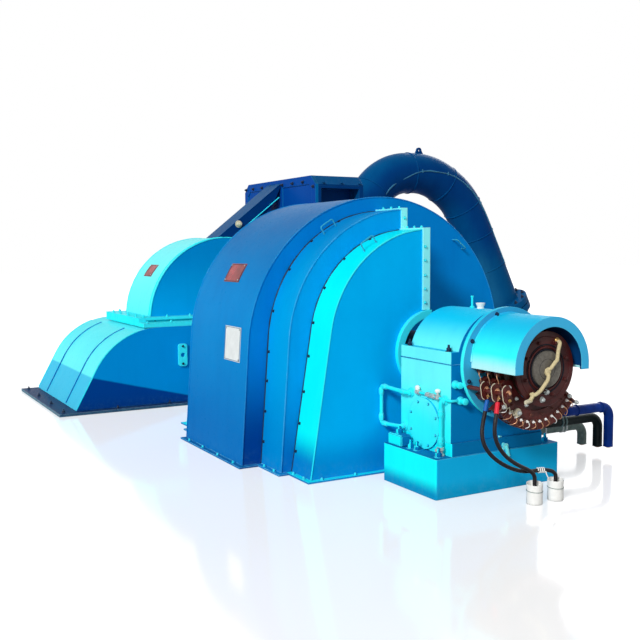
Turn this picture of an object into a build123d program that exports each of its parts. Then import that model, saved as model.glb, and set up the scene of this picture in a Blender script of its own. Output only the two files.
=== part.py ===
from build123d import *
import os
from math import asin, atan2, cos, hypot, pi, radians, sin, sqrt, tan

# Horizontal Pelton turbine generator set. Millimetres, +Z up, +Y along the shaft towards the
# turbine, +X to the right seen from the slip-ring end. The origin is on the floor under the
# shaft, half way along the generator's main cover.

# Shaft line
AXIS_Z = 950
SHAFT_R = 140
SHAFT_END_R = 126
RUNNING_FIT = 0.05
SHAFT_FRONT_Y = -2675
SHAFT_REAR_Y = 3380

# Generator covers: arches with a round crown and straight legs that lean in
MAIN_HALF_LENGTH = 630
MAIN_HALF_WIDTH = 1365
MAIN_CROWN_R = 1300
MAIN_CROWN_Z = 922
LARGE_STEP = 370
LARGE_HALF_WIDTH = 1195
LARGE_CROWN_R = 1118
LARGE_CROWN_Z = 982
SMALL_STEP = 320
SMALL_HALF_WIDTH = 1105
SMALL_CROWN_R = 930
SMALL_CROWN_Z = 1000
SHAFT_OPENING_R = 270
LIP_WIDTH = 45
LIP_HEIGHT = 14
FLANGE_WIDTH = 70
FLANGE_THICKNESS = 14
FACE_FLANGE_WIDTH = 60
RING_OUTER_R = 330
RING_DEPTH = 40
HANDLE_WIRE_R = 6
HANDLE_SPAN = 130
HANDLE_STANDOFF = 70
HANDLE_FOOT_DEPTH = 8
HANDLE_ANGLE = 122
LARGE_HANDLE_Y = -747
SMALL_HANDLE_Y = -1210
WALL_HANDLE_X = 820
WALL_HANDLE_Z = 1812
WALL_HANDLE_SLOPE = -38

# Bearing pedestals
PEDESTAL_GAP = 210
BASE_HALF_WIDTH = 580
BASE_LENGTH = 670
BASE_HEIGHT = 290
LEDGE_HALF_WIDTH = 430
LEDGE_HEIGHT = 95
LEDGE_SETBACK = 14
BLOCK_CORNER_R = 14
BODY_HALF_WIDTH = 430
BODY_LENGTH = 620
BODY_SETBACK = 20
CAP_R = 375
CAP_LENGTH = 620
CAP_FLANGE_HEIGHT = 90
CAP_SHOULDER_R = 60
INSPECTION_R = 190
INSPECTION_Z = 482
INSPECTION_THICKNESS = 16
DISC_R = 405
DISC_THICKNESS = 34
DISC_NECK_R = 330
DISC_NECK_LENGTH = 72
DISC_CLEARANCE = 6
OIL_PIPE_R = 15
OIL_PIPE_STANDOFF = 45
OIL_PIPE_BEND_R = 24
OIL_PIPE_Z = 690
OIL_RETURN_Z = 420
OIL_LOOP_GAP = 8
OIL_FEED_SETBACK = 140
OIL_RETURN_SETBACK = 60
OIL_DRAIN_SETBACK = 60
OIL_LOOP_RISE = 10
OIL_LOOP_FALL = 20
BREATHER_R = 8
BREATHER_HEIGHT = 92
FILLER_R = 24
FILLER_HEIGHT = 38
BREATHER_SETBACK = 8
FILLER_SETBACK = 105

# Slip-ring end
HOOD_R = 335
HOOD_WALL = 16
HOOD_LENGTH = 453
HOOD_RIM_R = 265
HOOD_RISE = 28
HOOD_FOOT_DROP = 14
HUB_R = 225
HUB_LENGTH = 60
DRUM_R = 168
SLIP_RING_R = 215
SLIP_RING_WIDTH = 56
SLIP_RING_COUNT = 3
SLIP_RING_SETBACK = 60
HUB_FRONT_SETBACK = 30
LEAD_R = 13
LEAD_STANDOFF = 20
LEAD_BEND_R = 17
FIELD_LEAD_UP = ((4, 0), (70, 62), (78, 128), (96, 184))
FIELD_LEAD_DOWN = ((-4, -34), (-14, -72), (-78, -140), (-128, -166))
YOKE_OUTER_R = 362
YOKE_INNER_R = 300
YOKE_LENGTH = 80
YOKE_FIRST_ANGLE = 214
YOKE_LAST_ANGLE = 326
YOKE_SETBACK = 153
YOKE_ARM_HALF_ANGLE = 4
HOLDER_COUNT = 12
HOLDER_DEPTH = 74
HOLDER_WIDTH = 52
HOLDER_POCKET_WIDTH = 32
HOLDER_POCKET_DEPTH = 50
HOLDER_WALL = 10
HOLDER_FIRST_ANGLE = 222
HOLDER_LAST_ANGLE = 318
TERMINAL_X = -358
TERMINAL_Z = 803
TERMINAL_BAR_SETBACK = 33
TERMINAL_FIRST = 30
TERMINAL_TILT = 100
TERMINAL_BAR_R = 16
TERMINAL_PITCH = 110
TERMINAL_HEIGHT = 130
TERMINAL_WIDTH = 78
TERMINAL_THICKNESS = 12

# Output leads
OUTPUT_LEAD_R = 40
OUTPUT_BEND_R = 88
OUTPUT_REACH = 135
OUTPUT_INSETS = (415, 505, 595)
OUTPUT_RUNS = (1220, 1100, 920)
OUTPUT_TOP_HEIGHTS = (430, 320, 222)
OUTPUT_END_HEIGHTS = (85, 65, 50)

# Turbine
PLATE_HALF_LENGTH = 2150
PLATE_FRONT_Y = 2340
PLATE_REAR_Y = 4415
PLATE_THICKNESS = 30
CASING_HALF_LENGTH = 1960
CASING_FRONT_Y = 2455
CASING_REAR_Y = 4390
CASING_TOP_Z = 902
TAIL_LEAN = 62
TAIL_R = 817
HOOD_COVER_R = 975
HOOD_COVER_Z = 945
HOOD_COVER_FRONT_Y = 2795
HOOD_COVER_REAR_Y = 3725
HOOD_FLANGE_REACH = 1165
HOOD_FLANGE_FRONT_Y = 2635
HOOD_FLANGE_REAR_Y = 3960
LOWER_FLANGE_THICKNESS = 46
UPPER_FLANGE_THICKNESS = 30
FLANGE_SLOT_HEIGHT = 22
FLANGE_SLOT_DEPTH = 40
FLANGE_SLOT_INSET = 85
SHAFT_TROUGH_R = 170
SHAFT_TROUGH_REAR_Y = 3420
BRACKET_X = -716
BRACKET_Z = 570
BRACKET_WIDTH = 106
BRACKET_HEIGHT = 260
BRACKET_THICKNESS = 24
BRACKET_CORNER_R = 30
BRACKET_HOLE_R = 26
DUCT_FRONT_Y = 3330
DUCT_REAR_Y = 3710
DUCT_TOP_Z = 2635
DUCT_LIP = 35
DUCT_HIGH_SEAT_X = 95
DUCT_LOW_SEAT_X = 600
DUCT_BAND_WIDTH = 130
DUCT_BAND_THICKNESS = 12
BOX_LEFT_X = 1050
BOX_LENGTH = 650
BOX_FRONT_Y = 2385
BOX_REAR_Y = 4450
BOX_TOP_Z = 2680
BOX_EAVES_Z = 2570
BOX_CHAMFER = 120
BOX_RECESS_DEPTH = 200
BOX_RECESS_TOP_Z = 2522
BOX_COLUMN_LEFT = 42
BOX_COLUMN_RIGHT = 62
LID_THICKNESS = 18
SIDE_PLATE_THICKNESS = 40
SIDE_PLATE_BORDER = 105
SIDE_PLATE_POCKET = 12

# Inlet pipe, in the plane of the nozzle
NOZZLE_Y = 3520
PIPE_R = 289
PIPE_WALL = 14
PIPE_START_Z = 2287
PIPE_CORNERS = ((2357, 2321), (2788, 2845), (3526, 2879), (4046, 2563), (4286, 2214))
PIPE_END = (5008, 753)
PIPE_FLANGE_R = 430
PIPE_FLANGE_THICKNESS = 90
PIPE_GASKET_R = 410
PIPE_GASKET_THICKNESS = 20
PIPE_BOLT_CIRCLE_R = 384
PIPE_BOLT_COUNT = 12
PIPE_BOLT_HOLE_R = 15
PIPE_OPEN_LENGTH = 620
PIPE_BEND_SHARE = 0.49
LUG_SHARE = 0.5
LUG_RISE = 45
LUG_ROOT = 76
LUG_R = 42
LUG_BASE_HALF_WIDTH = 82
LUG_HOLE_R = 16
LUG_THICKNESS = 28

# Brush cables
CABLE_R = 14
CABLE_BEND_SHARE = 0.45
CABLE_END_R = 58
CABLE_END_HEIGHT = 152

os.makedirs("parts", exist_ok=True)


def section(y):
    """Plane across the shaft at a station; extruding from it runs towards the slip-ring end."""
    return Plane.XZ.offset(-y)


def leg_top(half_width, radius, centre_z):
    """Point where the straight leg of an arch meets its round crown, on the left side."""
    reach = hypot(half_width, centre_z)
    leg = sqrt(reach**2 - radius**2)
    angle = atan2(centre_z, half_width) + asin(radius / reach)
    return (-half_width + leg * cos(angle), leg * sin(angle))


def draw_arch(half_width, radius, centre_z):
    """Full arch outline in the current sketch."""
    left_x, left_z = leg_top(half_width, radius, centre_z)
    with BuildLine() as outline:
        Line((-half_width, 0), (left_x, left_z))
        ThreePointArc((left_x, left_z), (0, centre_z + radius), (-left_x, left_z))
        Line((-left_x, left_z), (half_width, 0))
        Line((half_width, 0), (-half_width, 0))
    make_face(outline.edges())


def draw_half_arch(half_width, radius, centre_z):
    """Left half of an arch, closed on the centreline."""
    left_x, left_z = leg_top(half_width, radius, centre_z)
    start = atan2(left_z - centre_z, left_x)
    middle = (start % radians(360) + radians(90)) / 2
    with BuildLine() as outline:
        Line((-half_width, 0), (left_x, left_z))
        ThreePointArc(
            (left_x, left_z),
            (radius * cos(middle), centre_z + radius * sin(middle)),
            (0, centre_z + radius),
        )
        Line((0, centre_z + radius), (0, 0))
        Line((0, 0), (-half_width, 0))
    make_face(outline.edges())


def draw_crown_strip(radius, centre_z, width, thickness):
    """Strip lying on the crown of an arch, on the left of the centreline."""
    with Locations((0, centre_z)):
        Circle(radius + thickness)
        Circle(radius, mode=Mode.SUBTRACT)
    with Locations((-width / 2, centre_z + radius)):
        Rectangle(width, 4 * thickness, mode=Mode.INTERSECT)


def save(piece, name):
    piece.part.label = name
    export_step(piece.part, f"parts/{name}.step")


def mirrored(piece, name):
    """The same piece at the turbine end of the generator."""
    with BuildPart() as copy:
        add(piece.part.mirror(Plane.XZ))
    save(copy, name)
    return copy


# Stations along the shaft, from the generator's middle towards the slip-ring end
main_front_y = -MAIN_HALF_LENGTH
large_front_y = main_front_y - LARGE_STEP
small_front_y = large_front_y - SMALL_STEP
pedestal_rear_y = small_front_y - PEDESTAL_GAP
body_rear_y = pedestal_rear_y - BODY_SETBACK
body_front_y = body_rear_y - BODY_LENGTH
disc_rear_y = body_front_y - DISC_NECK_LENGTH
disc_front_y = disc_rear_y - DISC_THICKNESS
hood_front_y = disc_front_y - HOOD_LENGTH
ledge_top_z = BASE_HEIGHT + LEDGE_HEIGHT

# Main cover of the generator
with BuildPart() as main_cover:
    with BuildSketch(section(MAIN_HALF_LENGTH)):
        draw_arch(MAIN_HALF_WIDTH, MAIN_CROWN_R, MAIN_CROWN_Z)
    extrude(amount=2 * MAIN_HALF_LENGTH)
    with BuildSketch(Plane.XY):
        Rectangle(2 * (MAIN_HALF_WIDTH + LIP_WIDTH), 2 * MAIN_HALF_LENGTH)
        for end in (-1, 1):
            lip_y = end * (MAIN_HALF_LENGTH + LIP_WIDTH / 2)
            with Locations((0, lip_y)):
                Rectangle(2 * (MAIN_HALF_WIDTH + LIP_WIDTH), LIP_WIDTH)
            with Locations((-(LARGE_HALF_WIDTH + LIP_WIDTH) / 2, lip_y)):
                Rectangle(LARGE_HALF_WIDTH + LIP_WIDTH, LIP_WIDTH, mode=Mode.SUBTRACT)
    extrude(amount=LIP_HEIGHT)
    with BuildSketch(section(MAIN_HALF_LENGTH)):
        with Locations((0, AXIS_Z)):
            Circle(SHAFT_OPENING_R)
    extrude(amount=2 * MAIN_HALF_LENGTH, mode=Mode.SUBTRACT)
save(main_cover, "main_cover")


def half_cover(rear_y, step, half_width, radius, centre_z, inner_half_width):
    """Left half cover with its floor lip and its half of the shaft opening."""
    with BuildPart() as cover:
        with BuildSketch(section(rear_y)):
            draw_half_arch(half_width, radius, centre_z)
        extrude(amount=step)
        with BuildSketch(Plane.XY):
            with Locations((-half_width / 2, rear_y - step / 2)):
                Rectangle(half_width, step)
            with Locations((-half_width - LIP_WIDTH / 2, rear_y - (step + LIP_WIDTH) / 2)):
                Rectangle(LIP_WIDTH, step + LIP_WIDTH)
            front_lip_length = half_width - inner_half_width
            if front_lip_length > 0:
                with Locations((-half_width + front_lip_length / 2, rear_y - step - LIP_WIDTH / 2)):
                    Rectangle(front_lip_length, LIP_WIDTH)
        extrude(amount=LIP_HEIGHT)
        with BuildSketch(section(rear_y)):
            with Locations((0, AXIS_Z)):
                Circle(SHAFT_OPENING_R)
        extrude(amount=step, mode=Mode.SUBTRACT)
    return cover


front_large_cover = half_cover(
    main_front_y,
    LARGE_STEP,
    LARGE_HALF_WIDTH,
    LARGE_CROWN_R,
    LARGE_CROWN_Z,
    SMALL_HALF_WIDTH + LIP_WIDTH,
)
save(front_large_cover, "front_large_cover")
mirrored(front_large_cover, "rear_large_cover")

front_small_cover = half_cover(
    large_front_y, SMALL_STEP, SMALL_HALF_WIDTH, SMALL_CROWN_R, SMALL_CROWN_Z, 0
)
save(front_small_cover, "front_small_cover")
mirrored(front_small_cover, "rear_small_cover")

# Bolted flange that runs down the split of the two half covers
large_top_z = LARGE_CROWN_Z + LARGE_CROWN_R
small_top_z = SMALL_CROWN_Z + SMALL_CROWN_R
ring_top_z = AXIS_Z + RING_OUTER_R
with BuildPart() as front_split_flange:
    with BuildSketch(section(main_front_y)):
        draw_crown_strip(LARGE_CROWN_R, LARGE_CROWN_Z, FLANGE_WIDTH, FLANGE_THICKNESS)
    extrude(amount=LARGE_STEP + FLANGE_THICKNESS)
    with BuildSketch(section(large_front_y)):
        with Locations((-FACE_FLANGE_WIDTH / 2, (large_top_z + small_top_z + FLANGE_THICKNESS) / 2)):
            Rectangle(FACE_FLANGE_WIDTH, large_top_z - small_top_z + FLANGE_THICKNESS)
    extrude(amount=FLANGE_THICKNESS)
    with BuildSketch(section(large_front_y)):
        draw_crown_strip(SMALL_CROWN_R, SMALL_CROWN_Z, FLANGE_WIDTH, FLANGE_THICKNESS)
    extrude(amount=SMALL_STEP + FLANGE_THICKNESS)
    with BuildSketch(section(small_front_y)):
        with Locations((-FLANGE_WIDTH / 2, (small_top_z + ring_top_z) / 2)):
            Rectangle(FLANGE_WIDTH, small_top_z - ring_top_z)
        with Locations((0, SMALL_CROWN_Z)):
            Circle(SMALL_CROWN_R, mode=Mode.INTERSECT)
    extrude(amount=FLANGE_THICKNESS)
save(front_split_flange, "front_split_flange")
mirrored(front_split_flange, "rear_split_flange")

# Half ring round the shaft opening in the small cover's front wall
with BuildPart() as front_shaft_ring:
    with BuildSketch(section(small_front_y)):
        with Locations((0, AXIS_Z)):
            Circle(RING_OUTER_R)
            Circle(SHAFT_OPENING_R, mode=Mode.SUBTRACT)
        with Locations((-RING_OUTER_R, AXIS_Z)):
            Rectangle(2 * RING_OUTER_R, 2 * RING_OUTER_R, mode=Mode.INTERSECT)
    extrude(amount=RING_DEPTH)
save(front_shaft_ring, "front_shaft_ring")
mirrored(front_shaft_ring, "rear_shaft_ring")


# Wire lifting handles: two stand on the half covers' crowns, one on the main cover's front wall
def add_handle(seat):
    """Bent wire handle whose feet lie along the seat plane's x direction."""
    half = HANDLE_SPAN / 2
    foot = -HANDLE_FOOT_DEPTH
    corners = ((-half, foot), (-half, HANDLE_STANDOFF), (half, HANDLE_STANDOFF), (half, foot))
    points = [seat.from_local_coords((x, 0, height)) for x, height in corners]
    with BuildLine() as wire:
        FilletPolyline(*points, radius=3 * HANDLE_WIRE_R)
    with BuildSketch(Plane(origin=points[0], z_dir=seat.z_dir)) as wire_end:
        Circle(HANDLE_WIRE_R)
    sweep(sections=wire_end.sketch, path=wire.line)


def crown_seat(crown_r, crown_z, y):
    """Plane that touches a crown at the handles' angle, with its x direction round the crown."""
    angle = radians(HANDLE_ANGLE)
    outward = (cos(angle), 0, sin(angle))
    origin = (crown_r * outward[0], y, crown_z + crown_r * outward[2])
    return Plane(origin=origin, x_dir=(sin(angle), 0, -cos(angle)), z_dir=outward)


wall_slope = radians(WALL_HANDLE_SLOPE)
wall_seat = Plane(
    origin=(WALL_HANDLE_X, main_front_y, WALL_HANDLE_Z),
    x_dir=(cos(wall_slope), 0, sin(wall_slope)),
    z_dir=(0, -1, 0),
)
with BuildPart() as cover_handles:
    add_handle(crown_seat(LARGE_CROWN_R, LARGE_CROWN_Z, LARGE_HANDLE_Y))
    add_handle(crown_seat(SMALL_CROWN_R, SMALL_CROWN_Z, SMALL_HANDLE_Y))
    add_handle(wall_seat)
    for cover in (main_cover, front_large_cover, front_small_cover):
        add(cover.part, mode=Mode.SUBTRACT)
save(cover_handles, "cover_handles")

# Front bearing: stepped base block
with BuildPart() as front_base_block:
    with BuildSketch(Plane.XY):
        with Locations((0, pedestal_rear_y - BASE_LENGTH / 2)):
            Rectangle(2 * BASE_HALF_WIDTH, BASE_LENGTH)
    extrude(amount=BASE_HEIGHT)
    with BuildSketch(Plane.XY.offset(BASE_HEIGHT)):
        with Locations((0, pedestal_rear_y - BASE_LENGTH / 2)):
            Rectangle(2 * LEDGE_HALF_WIDTH, BASE_LENGTH - 2 * LEDGE_SETBACK)
    extrude(amount=LEDGE_HEIGHT)
    fillet(front_base_block.edges().filter_by(Axis.Z), radius=BLOCK_CORNER_R)
save(front_base_block, "front_base_block")
mirrored(front_base_block, "rear_base_block")

# Pedestal body, bored for the lower half of the shaft
body_middle_y = (body_rear_y + body_front_y) / 2
with BuildPart() as front_pedestal:
    with BuildSketch(Plane.XY.offset(ledge_top_z)):
        with Locations((0, body_middle_y)):
            Rectangle(2 * BODY_HALF_WIDTH, BODY_LENGTH)
    extrude(amount=AXIS_Z - ledge_top_z)
    with BuildSketch(section(body_rear_y)):
        with Locations((0, AXIS_Z)):
            Circle(SHAFT_R + RUNNING_FIT)
    extrude(amount=BODY_LENGTH, mode=Mode.SUBTRACT)
save(front_pedestal, "front_pedestal")
mirrored(front_pedestal, "rear_pedestal")

# Bearing cap: flanged half barrel with a rounded rear shoulder
with BuildPart() as front_bearing_cap:
    with BuildSketch(section(body_rear_y)):
        with Locations((0, AXIS_Z)):
            Circle(CAP_R)
        with Locations((0, AXIS_Z + CAP_R)):
            Rectangle(2 * CAP_R, 2 * CAP_R, mode=Mode.INTERSECT)
    extrude(amount=CAP_LENGTH)
    shoulder = front_bearing_cap.edges().filter_by(GeomType.CIRCLE).sort_by(Axis.Y)[-1]
    fillet(shoulder, radius=CAP_SHOULDER_R)
    with BuildSketch(Plane.XY.offset(AXIS_Z)):
        with Locations((0, body_middle_y)):
            Rectangle(2 * BODY_HALF_WIDTH, BODY_LENGTH)
    extrude(amount=CAP_FLANGE_HEIGHT)
    with BuildSketch(section(body_rear_y)):
        with Locations((0, AXIS_Z)):
            Circle(SHAFT_R + RUNNING_FIT)
    extrude(amount=BODY_LENGTH, mode=Mode.SUBTRACT)
save(front_bearing_cap, "front_bearing_cap")
mirrored(front_bearing_cap, "rear_bearing_cap")

# Round inspection cover on the pedestal's left face
with BuildPart() as inspection_cover:
    with BuildSketch(Plane.YZ.offset(-BODY_HALF_WIDTH)):
        with Locations((body_middle_y, INSPECTION_Z)):
            Circle(INSPECTION_R)
    extrude(amount=-INSPECTION_THICKNESS)
save(inspection_cover, "inspection_cover")

# Oil pipes on the pedestal's left side: a loop towards the generator, and a drain at the front
oil_x = -BODY_HALF_WIDTH - OIL_PIPE_STANDOFF


def oil_pipe(name, points):
    with BuildPart() as pipe:
        with BuildLine() as path:
            FilletPolyline(*points, radius=OIL_PIPE_BEND_R)
        with BuildSketch(Plane.YZ.offset(-BODY_HALF_WIDTH)):
            with Locations(points[0][1:]):
                Circle(OIL_PIPE_R)
        sweep(path=path.line)
    save(pipe, name)


loop_y = small_front_y - OIL_PIPE_R - OIL_LOOP_GAP
loop_feed_y = body_rear_y - OIL_FEED_SETBACK
loop_return_y = body_rear_y - OIL_RETURN_SETBACK
oil_pipe(
    "oil_pipe_loop",
    (
        (-BODY_HALF_WIDTH, loop_feed_y, OIL_PIPE_Z),
        (oil_x, loop_feed_y, OIL_PIPE_Z),
        (oil_x, loop_y, OIL_PIPE_Z + OIL_LOOP_RISE),
        (oil_x, loop_y, OIL_RETURN_Z - OIL_LOOP_FALL),
        (oil_x, loop_return_y, OIL_RETURN_Z),
        (-BODY_HALF_WIDTH, loop_return_y, OIL_RETURN_Z),
    ),
)
drain_y = body_front_y + OIL_DRAIN_SETBACK
oil_pipe(
    "oil_drain_pipe",
    (
        (-BODY_HALF_WIDTH, drain_y, OIL_PIPE_Z),
        (oil_x, drain_y, OIL_PIPE_Z),
        (oil_x, drain_y, BASE_HEIGHT),
    ),
)

# Breather rod and filler cup on top of the bearing cap
with BuildPart() as cap_fittings:
    with BuildSketch(Plane.XY.offset(AXIS_Z + CAP_R)):
        with Locations((0, body_middle_y - BREATHER_SETBACK)):
            Circle(BREATHER_R)
    extrude(amount=BREATHER_HEIGHT)
    with BuildSketch(Plane.XY.offset(AXIS_Z + CAP_R)):
        with Locations((0, body_middle_y - FILLER_SETBACK)):
            Circle(FILLER_R)
    extrude(amount=FILLER_HEIGHT)
save(cap_fittings, "cap_fittings")

# Disc that closes the front of the bearing
with BuildPart() as bearing_end_disc:
    with BuildSketch(section(body_front_y)):
        with Locations((0, AXIS_Z)):
            Circle(DISC_NECK_R)
    extrude(amount=DISC_NECK_LENGTH)
    with BuildSketch(section(disc_rear_y)):
        with Locations((0, AXIS_Z)):
            Circle(DISC_R)
    extrude(amount=DISC_THICKNESS)
    with BuildSketch(section(body_front_y)):
        with Locations((0, AXIS_Z)):
            Circle(SHAFT_R + DISC_CLEARANCE)
    extrude(amount=DISC_NECK_LENGTH + DISC_THICKNESS, mode=Mode.SUBTRACT)
save(bearing_end_disc, "bearing_end_disc")

# Arched hood over the slip rings, with a flat rim turned inwards at its front
hood_z = AXIS_Z + HOOD_RISE
hood_foot_z = AXIS_Z - HOOD_FOOT_DROP


def draw_hood(radius, mode=Mode.ADD):
    """Half round on short straight sides, in the current sketch."""
    with BuildLine(mode=Mode.PRIVATE) as outline:
        Line((-radius, hood_foot_z), (-radius, hood_z))
        ThreePointArc((-radius, hood_z), (0, hood_z + radius), (radius, hood_z))
        Line((radius, hood_z), (radius, hood_foot_z))
        Line((radius, hood_foot_z), (-radius, hood_foot_z))
    make_face(outline.edges(), mode=mode)


with BuildPart() as slip_ring_hood:
    with BuildSketch(section(disc_front_y)):
        draw_hood(HOOD_R)
        draw_hood(HOOD_R - HOOD_WALL, mode=Mode.SUBTRACT)
    extrude(amount=HOOD_LENGTH)
    with BuildSketch(section(hood_front_y + HOOD_WALL)):
        draw_hood(HOOD_R)
        draw_hood(HOOD_RIM_R, mode=Mode.SUBTRACT)
    extrude(amount=HOOD_WALL)
save(slip_ring_hood, "slip_ring_hood")

# Rotor: shaft, slip-ring hub with its rings, and the two taped field leads
hub_front_y = SHAFT_FRONT_Y + HUB_FRONT_SETBACK
hub_rear_y = hub_front_y + HUB_LENGTH
with BuildPart() as shaft:
    with BuildSketch(section(SHAFT_REAR_Y)):
        with Locations((0, AXIS_Z)):
            Circle(SHAFT_R)
    extrude(amount=SHAFT_REAR_Y - hub_rear_y)
    with BuildSketch(section(hub_rear_y)):
        with Locations((0, AXIS_Z)):
            Circle(SHAFT_END_R)
    extrude(amount=hub_rear_y - SHAFT_FRONT_Y)
save(shaft, "shaft")

drum_rear_y = disc_front_y - DISC_CLEARANCE
with BuildPart() as slip_ring_hub:
    with BuildSketch(section(hub_rear_y)):
        with Locations((0, AXIS_Z)):
            Circle(HUB_R)
            Circle(SHAFT_END_R, mode=Mode.SUBTRACT)
    extrude(amount=HUB_LENGTH)
    with BuildSketch(section(drum_rear_y)):
        with Locations((0, AXIS_Z)):
            Circle(DRUM_R)
            Circle(SHAFT_R, mode=Mode.SUBTRACT)
    extrude(amount=drum_rear_y - hub_rear_y)
save(slip_ring_hub, "slip_ring_hub")

first_ring_y = hub_rear_y + SLIP_RING_SETBACK
ring_pitch = (drum_rear_y - first_ring_y - SLIP_RING_WIDTH) / (SLIP_RING_COUNT - 1)
ring_stations = [first_ring_y + ring_pitch * index for index in range(SLIP_RING_COUNT)]
with BuildPart() as slip_rings:
    for ring_front_y in ring_stations:
        with BuildSketch(section(ring_front_y + SLIP_RING_WIDTH)):
            with Locations((0, AXIS_Z)):
                Circle(SLIP_RING_R)
                Circle(DRUM_R, mode=Mode.SUBTRACT)
        extrude(amount=SLIP_RING_WIDTH)
save(slip_rings, "slip_rings")

lead_y = SHAFT_FRONT_Y - LEAD_STANDOFF
with BuildPart() as field_leads:
    for route in (FIELD_LEAD_UP, FIELD_LEAD_DOWN):
        points = [(x, lead_y, AXIS_Z + z) for x, z in route]
        points.insert(0, (points[0][0], SHAFT_FRONT_Y, points[0][2]))
        points.append((points[-1][0], hub_front_y, points[-1][2]))
        with BuildLine() as lead_path:
            FilletPolyline(*points, radius=LEAD_BEND_R)
        with BuildSketch(section(SHAFT_FRONT_Y)):
            with Locations((points[0][0], points[0][2])):
                Circle(LEAD_R)
        sweep(path=lead_path.line)
save(field_leads, "field_leads")

# Brush yoke under the slip rings, carried by the end disc on two arms
yoke_front_y = hood_front_y + YOKE_SETBACK
yoke_rear_y = yoke_front_y + YOKE_LENGTH


def polar(radius, angle):
    """Point on the section plane at a radius and angle from the shaft's axis."""
    return (radius * cos(radians(angle)), AXIS_Z + radius * sin(radians(angle)))


def draw_ring_sector(outer_r, inner_r, first_angle, last_angle):
    middle_angle = (first_angle + last_angle) / 2
    with BuildLine() as outline:
        ThreePointArc(
            polar(outer_r, first_angle), polar(outer_r, middle_angle), polar(outer_r, last_angle)
        )
        Line(polar(outer_r, last_angle), polar(inner_r, last_angle))
        ThreePointArc(
            polar(inner_r, last_angle), polar(inner_r, middle_angle), polar(inner_r, first_angle)
        )
        Line(polar(inner_r, first_angle), polar(outer_r, first_angle))
    make_face(outline.edges())


with BuildPart() as brush_yoke:
    with BuildSketch(section(yoke_rear_y)):
        draw_ring_sector(YOKE_OUTER_R, YOKE_INNER_R, YOKE_FIRST_ANGLE, YOKE_LAST_ANGLE)
    extrude(amount=YOKE_LENGTH)
    half_arm = YOKE_ARM_HALF_ANGLE
    for arm_angle in (YOKE_FIRST_ANGLE + half_arm, 270, YOKE_LAST_ANGLE - half_arm):
        with BuildSketch(section(disc_front_y)):
            draw_ring_sector(YOKE_OUTER_R, YOKE_INNER_R, arm_angle - half_arm, arm_angle + half_arm)
        extrude(amount=disc_front_y - yoke_rear_y)
save(brush_yoke, "brush_yoke")

# Brush holders: boxes round the outside of the yoke, open outwards for the brushes
holder_step = (HOLDER_LAST_ANGLE - HOLDER_FIRST_ANGLE) / (HOLDER_COUNT - 1)
with BuildPart() as brush_holders:
    for index in range(HOLDER_COUNT):
        angle = HOLDER_FIRST_ANGLE + index * holder_step
        centre = polar(YOKE_OUTER_R + HOLDER_DEPTH / 2, angle)
        pocket = polar(YOKE_OUTER_R + HOLDER_DEPTH - HOLDER_POCKET_DEPTH / 2, angle)
        with BuildSketch(section(yoke_rear_y)):
            with Locations(Location((centre[0], centre[1], 0), (0, 0, angle))):
                Rectangle(HOLDER_DEPTH, HOLDER_WIDTH)
        extrude(amount=YOKE_LENGTH)
        with BuildSketch(section(yoke_rear_y - HOLDER_WALL)):
            with Locations(Location((pocket[0], pocket[1], 0), (0, 0, angle))):
                Rectangle(HOLDER_POCKET_DEPTH, HOLDER_POCKET_WIDTH)
        extrude(amount=YOKE_LENGTH - 2 * HOLDER_WALL, mode=Mode.SUBTRACT)
save(brush_holders, "brush_holders")

# Three round-ended terminal plates on a bar that stands out of the end disc
bar_front_y = hood_front_y + TERMINAL_BAR_SETBACK
with BuildPart() as terminal_plates:
    for index in range(3):
        with BuildSketch(section(bar_front_y + TERMINAL_FIRST + index * TERMINAL_PITCH)):
            with Locations(Location((TERMINAL_X, TERMINAL_Z, 0), (0, 0, TERMINAL_TILT))):
                SlotOverall(TERMINAL_HEIGHT, TERMINAL_WIDTH)
        extrude(amount=TERMINAL_THICKNESS)
    with BuildSketch(section(disc_front_y)):
        with Locations((TERMINAL_X, TERMINAL_Z)):
            Circle(TERMINAL_BAR_R)
    extrude(amount=disc_front_y - bar_front_y)
save(terminal_plates, "terminal_plates")


# Three bent output leads that leave the generator low on its right and turn down to the floor
output_end_x = MAIN_HALF_WIDTH + OUTPUT_REACH


def output_lead(name, inset, run, top_z, end_z):
    start_x = MAIN_HALF_WIDTH - inset
    turn_y = main_front_y - run
    points = [
        (start_x, main_front_y, top_z),
        (start_x, turn_y, top_z),
        (output_end_x, turn_y, top_z),
        (output_end_x, turn_y, end_z),
    ]
    with BuildPart() as lead:
        with BuildLine() as path:
            FilletPolyline(*points, radius=OUTPUT_BEND_R)
        with BuildSketch(section(main_front_y)):
            with Locations((start_x, top_z)):
                Circle(OUTPUT_LEAD_R)
        sweep(path=path.line)
    save(lead, name)


lead_names = ("output_lead_outer", "output_lead_middle", "output_lead_inner")
lead_sizes = zip(OUTPUT_INSETS, OUTPUT_RUNS, OUTPUT_TOP_HEIGHTS, OUTPUT_END_HEIGHTS)
for name, sizes in zip(lead_names, lead_sizes):
    output_lead(name, *sizes)

# Turbine: base plate and lower casing with curved tails
with BuildPart() as turbine_base_plate:
    with BuildSketch(Plane.XY):
        with Locations((0, (PLATE_FRONT_Y + PLATE_REAR_Y) / 2)):
            Rectangle(2 * PLATE_HALF_LENGTH, PLATE_REAR_Y - PLATE_FRONT_Y)
    extrude(amount=PLATE_THICKNESS)
save(turbine_base_plate, "turbine_base_plate")


def cut_shaft_trough(front_y):
    """Recess for the shaft's end, from a front face back to its closed end."""
    with BuildSketch(section(SHAFT_TROUGH_REAR_Y)) as trough:
        with Locations((0, AXIS_Z)):
            Circle(SHAFT_TROUGH_R)
    extrude(trough.sketch, amount=SHAFT_TROUGH_REAR_Y - front_y, mode=Mode.SUBTRACT)


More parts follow.
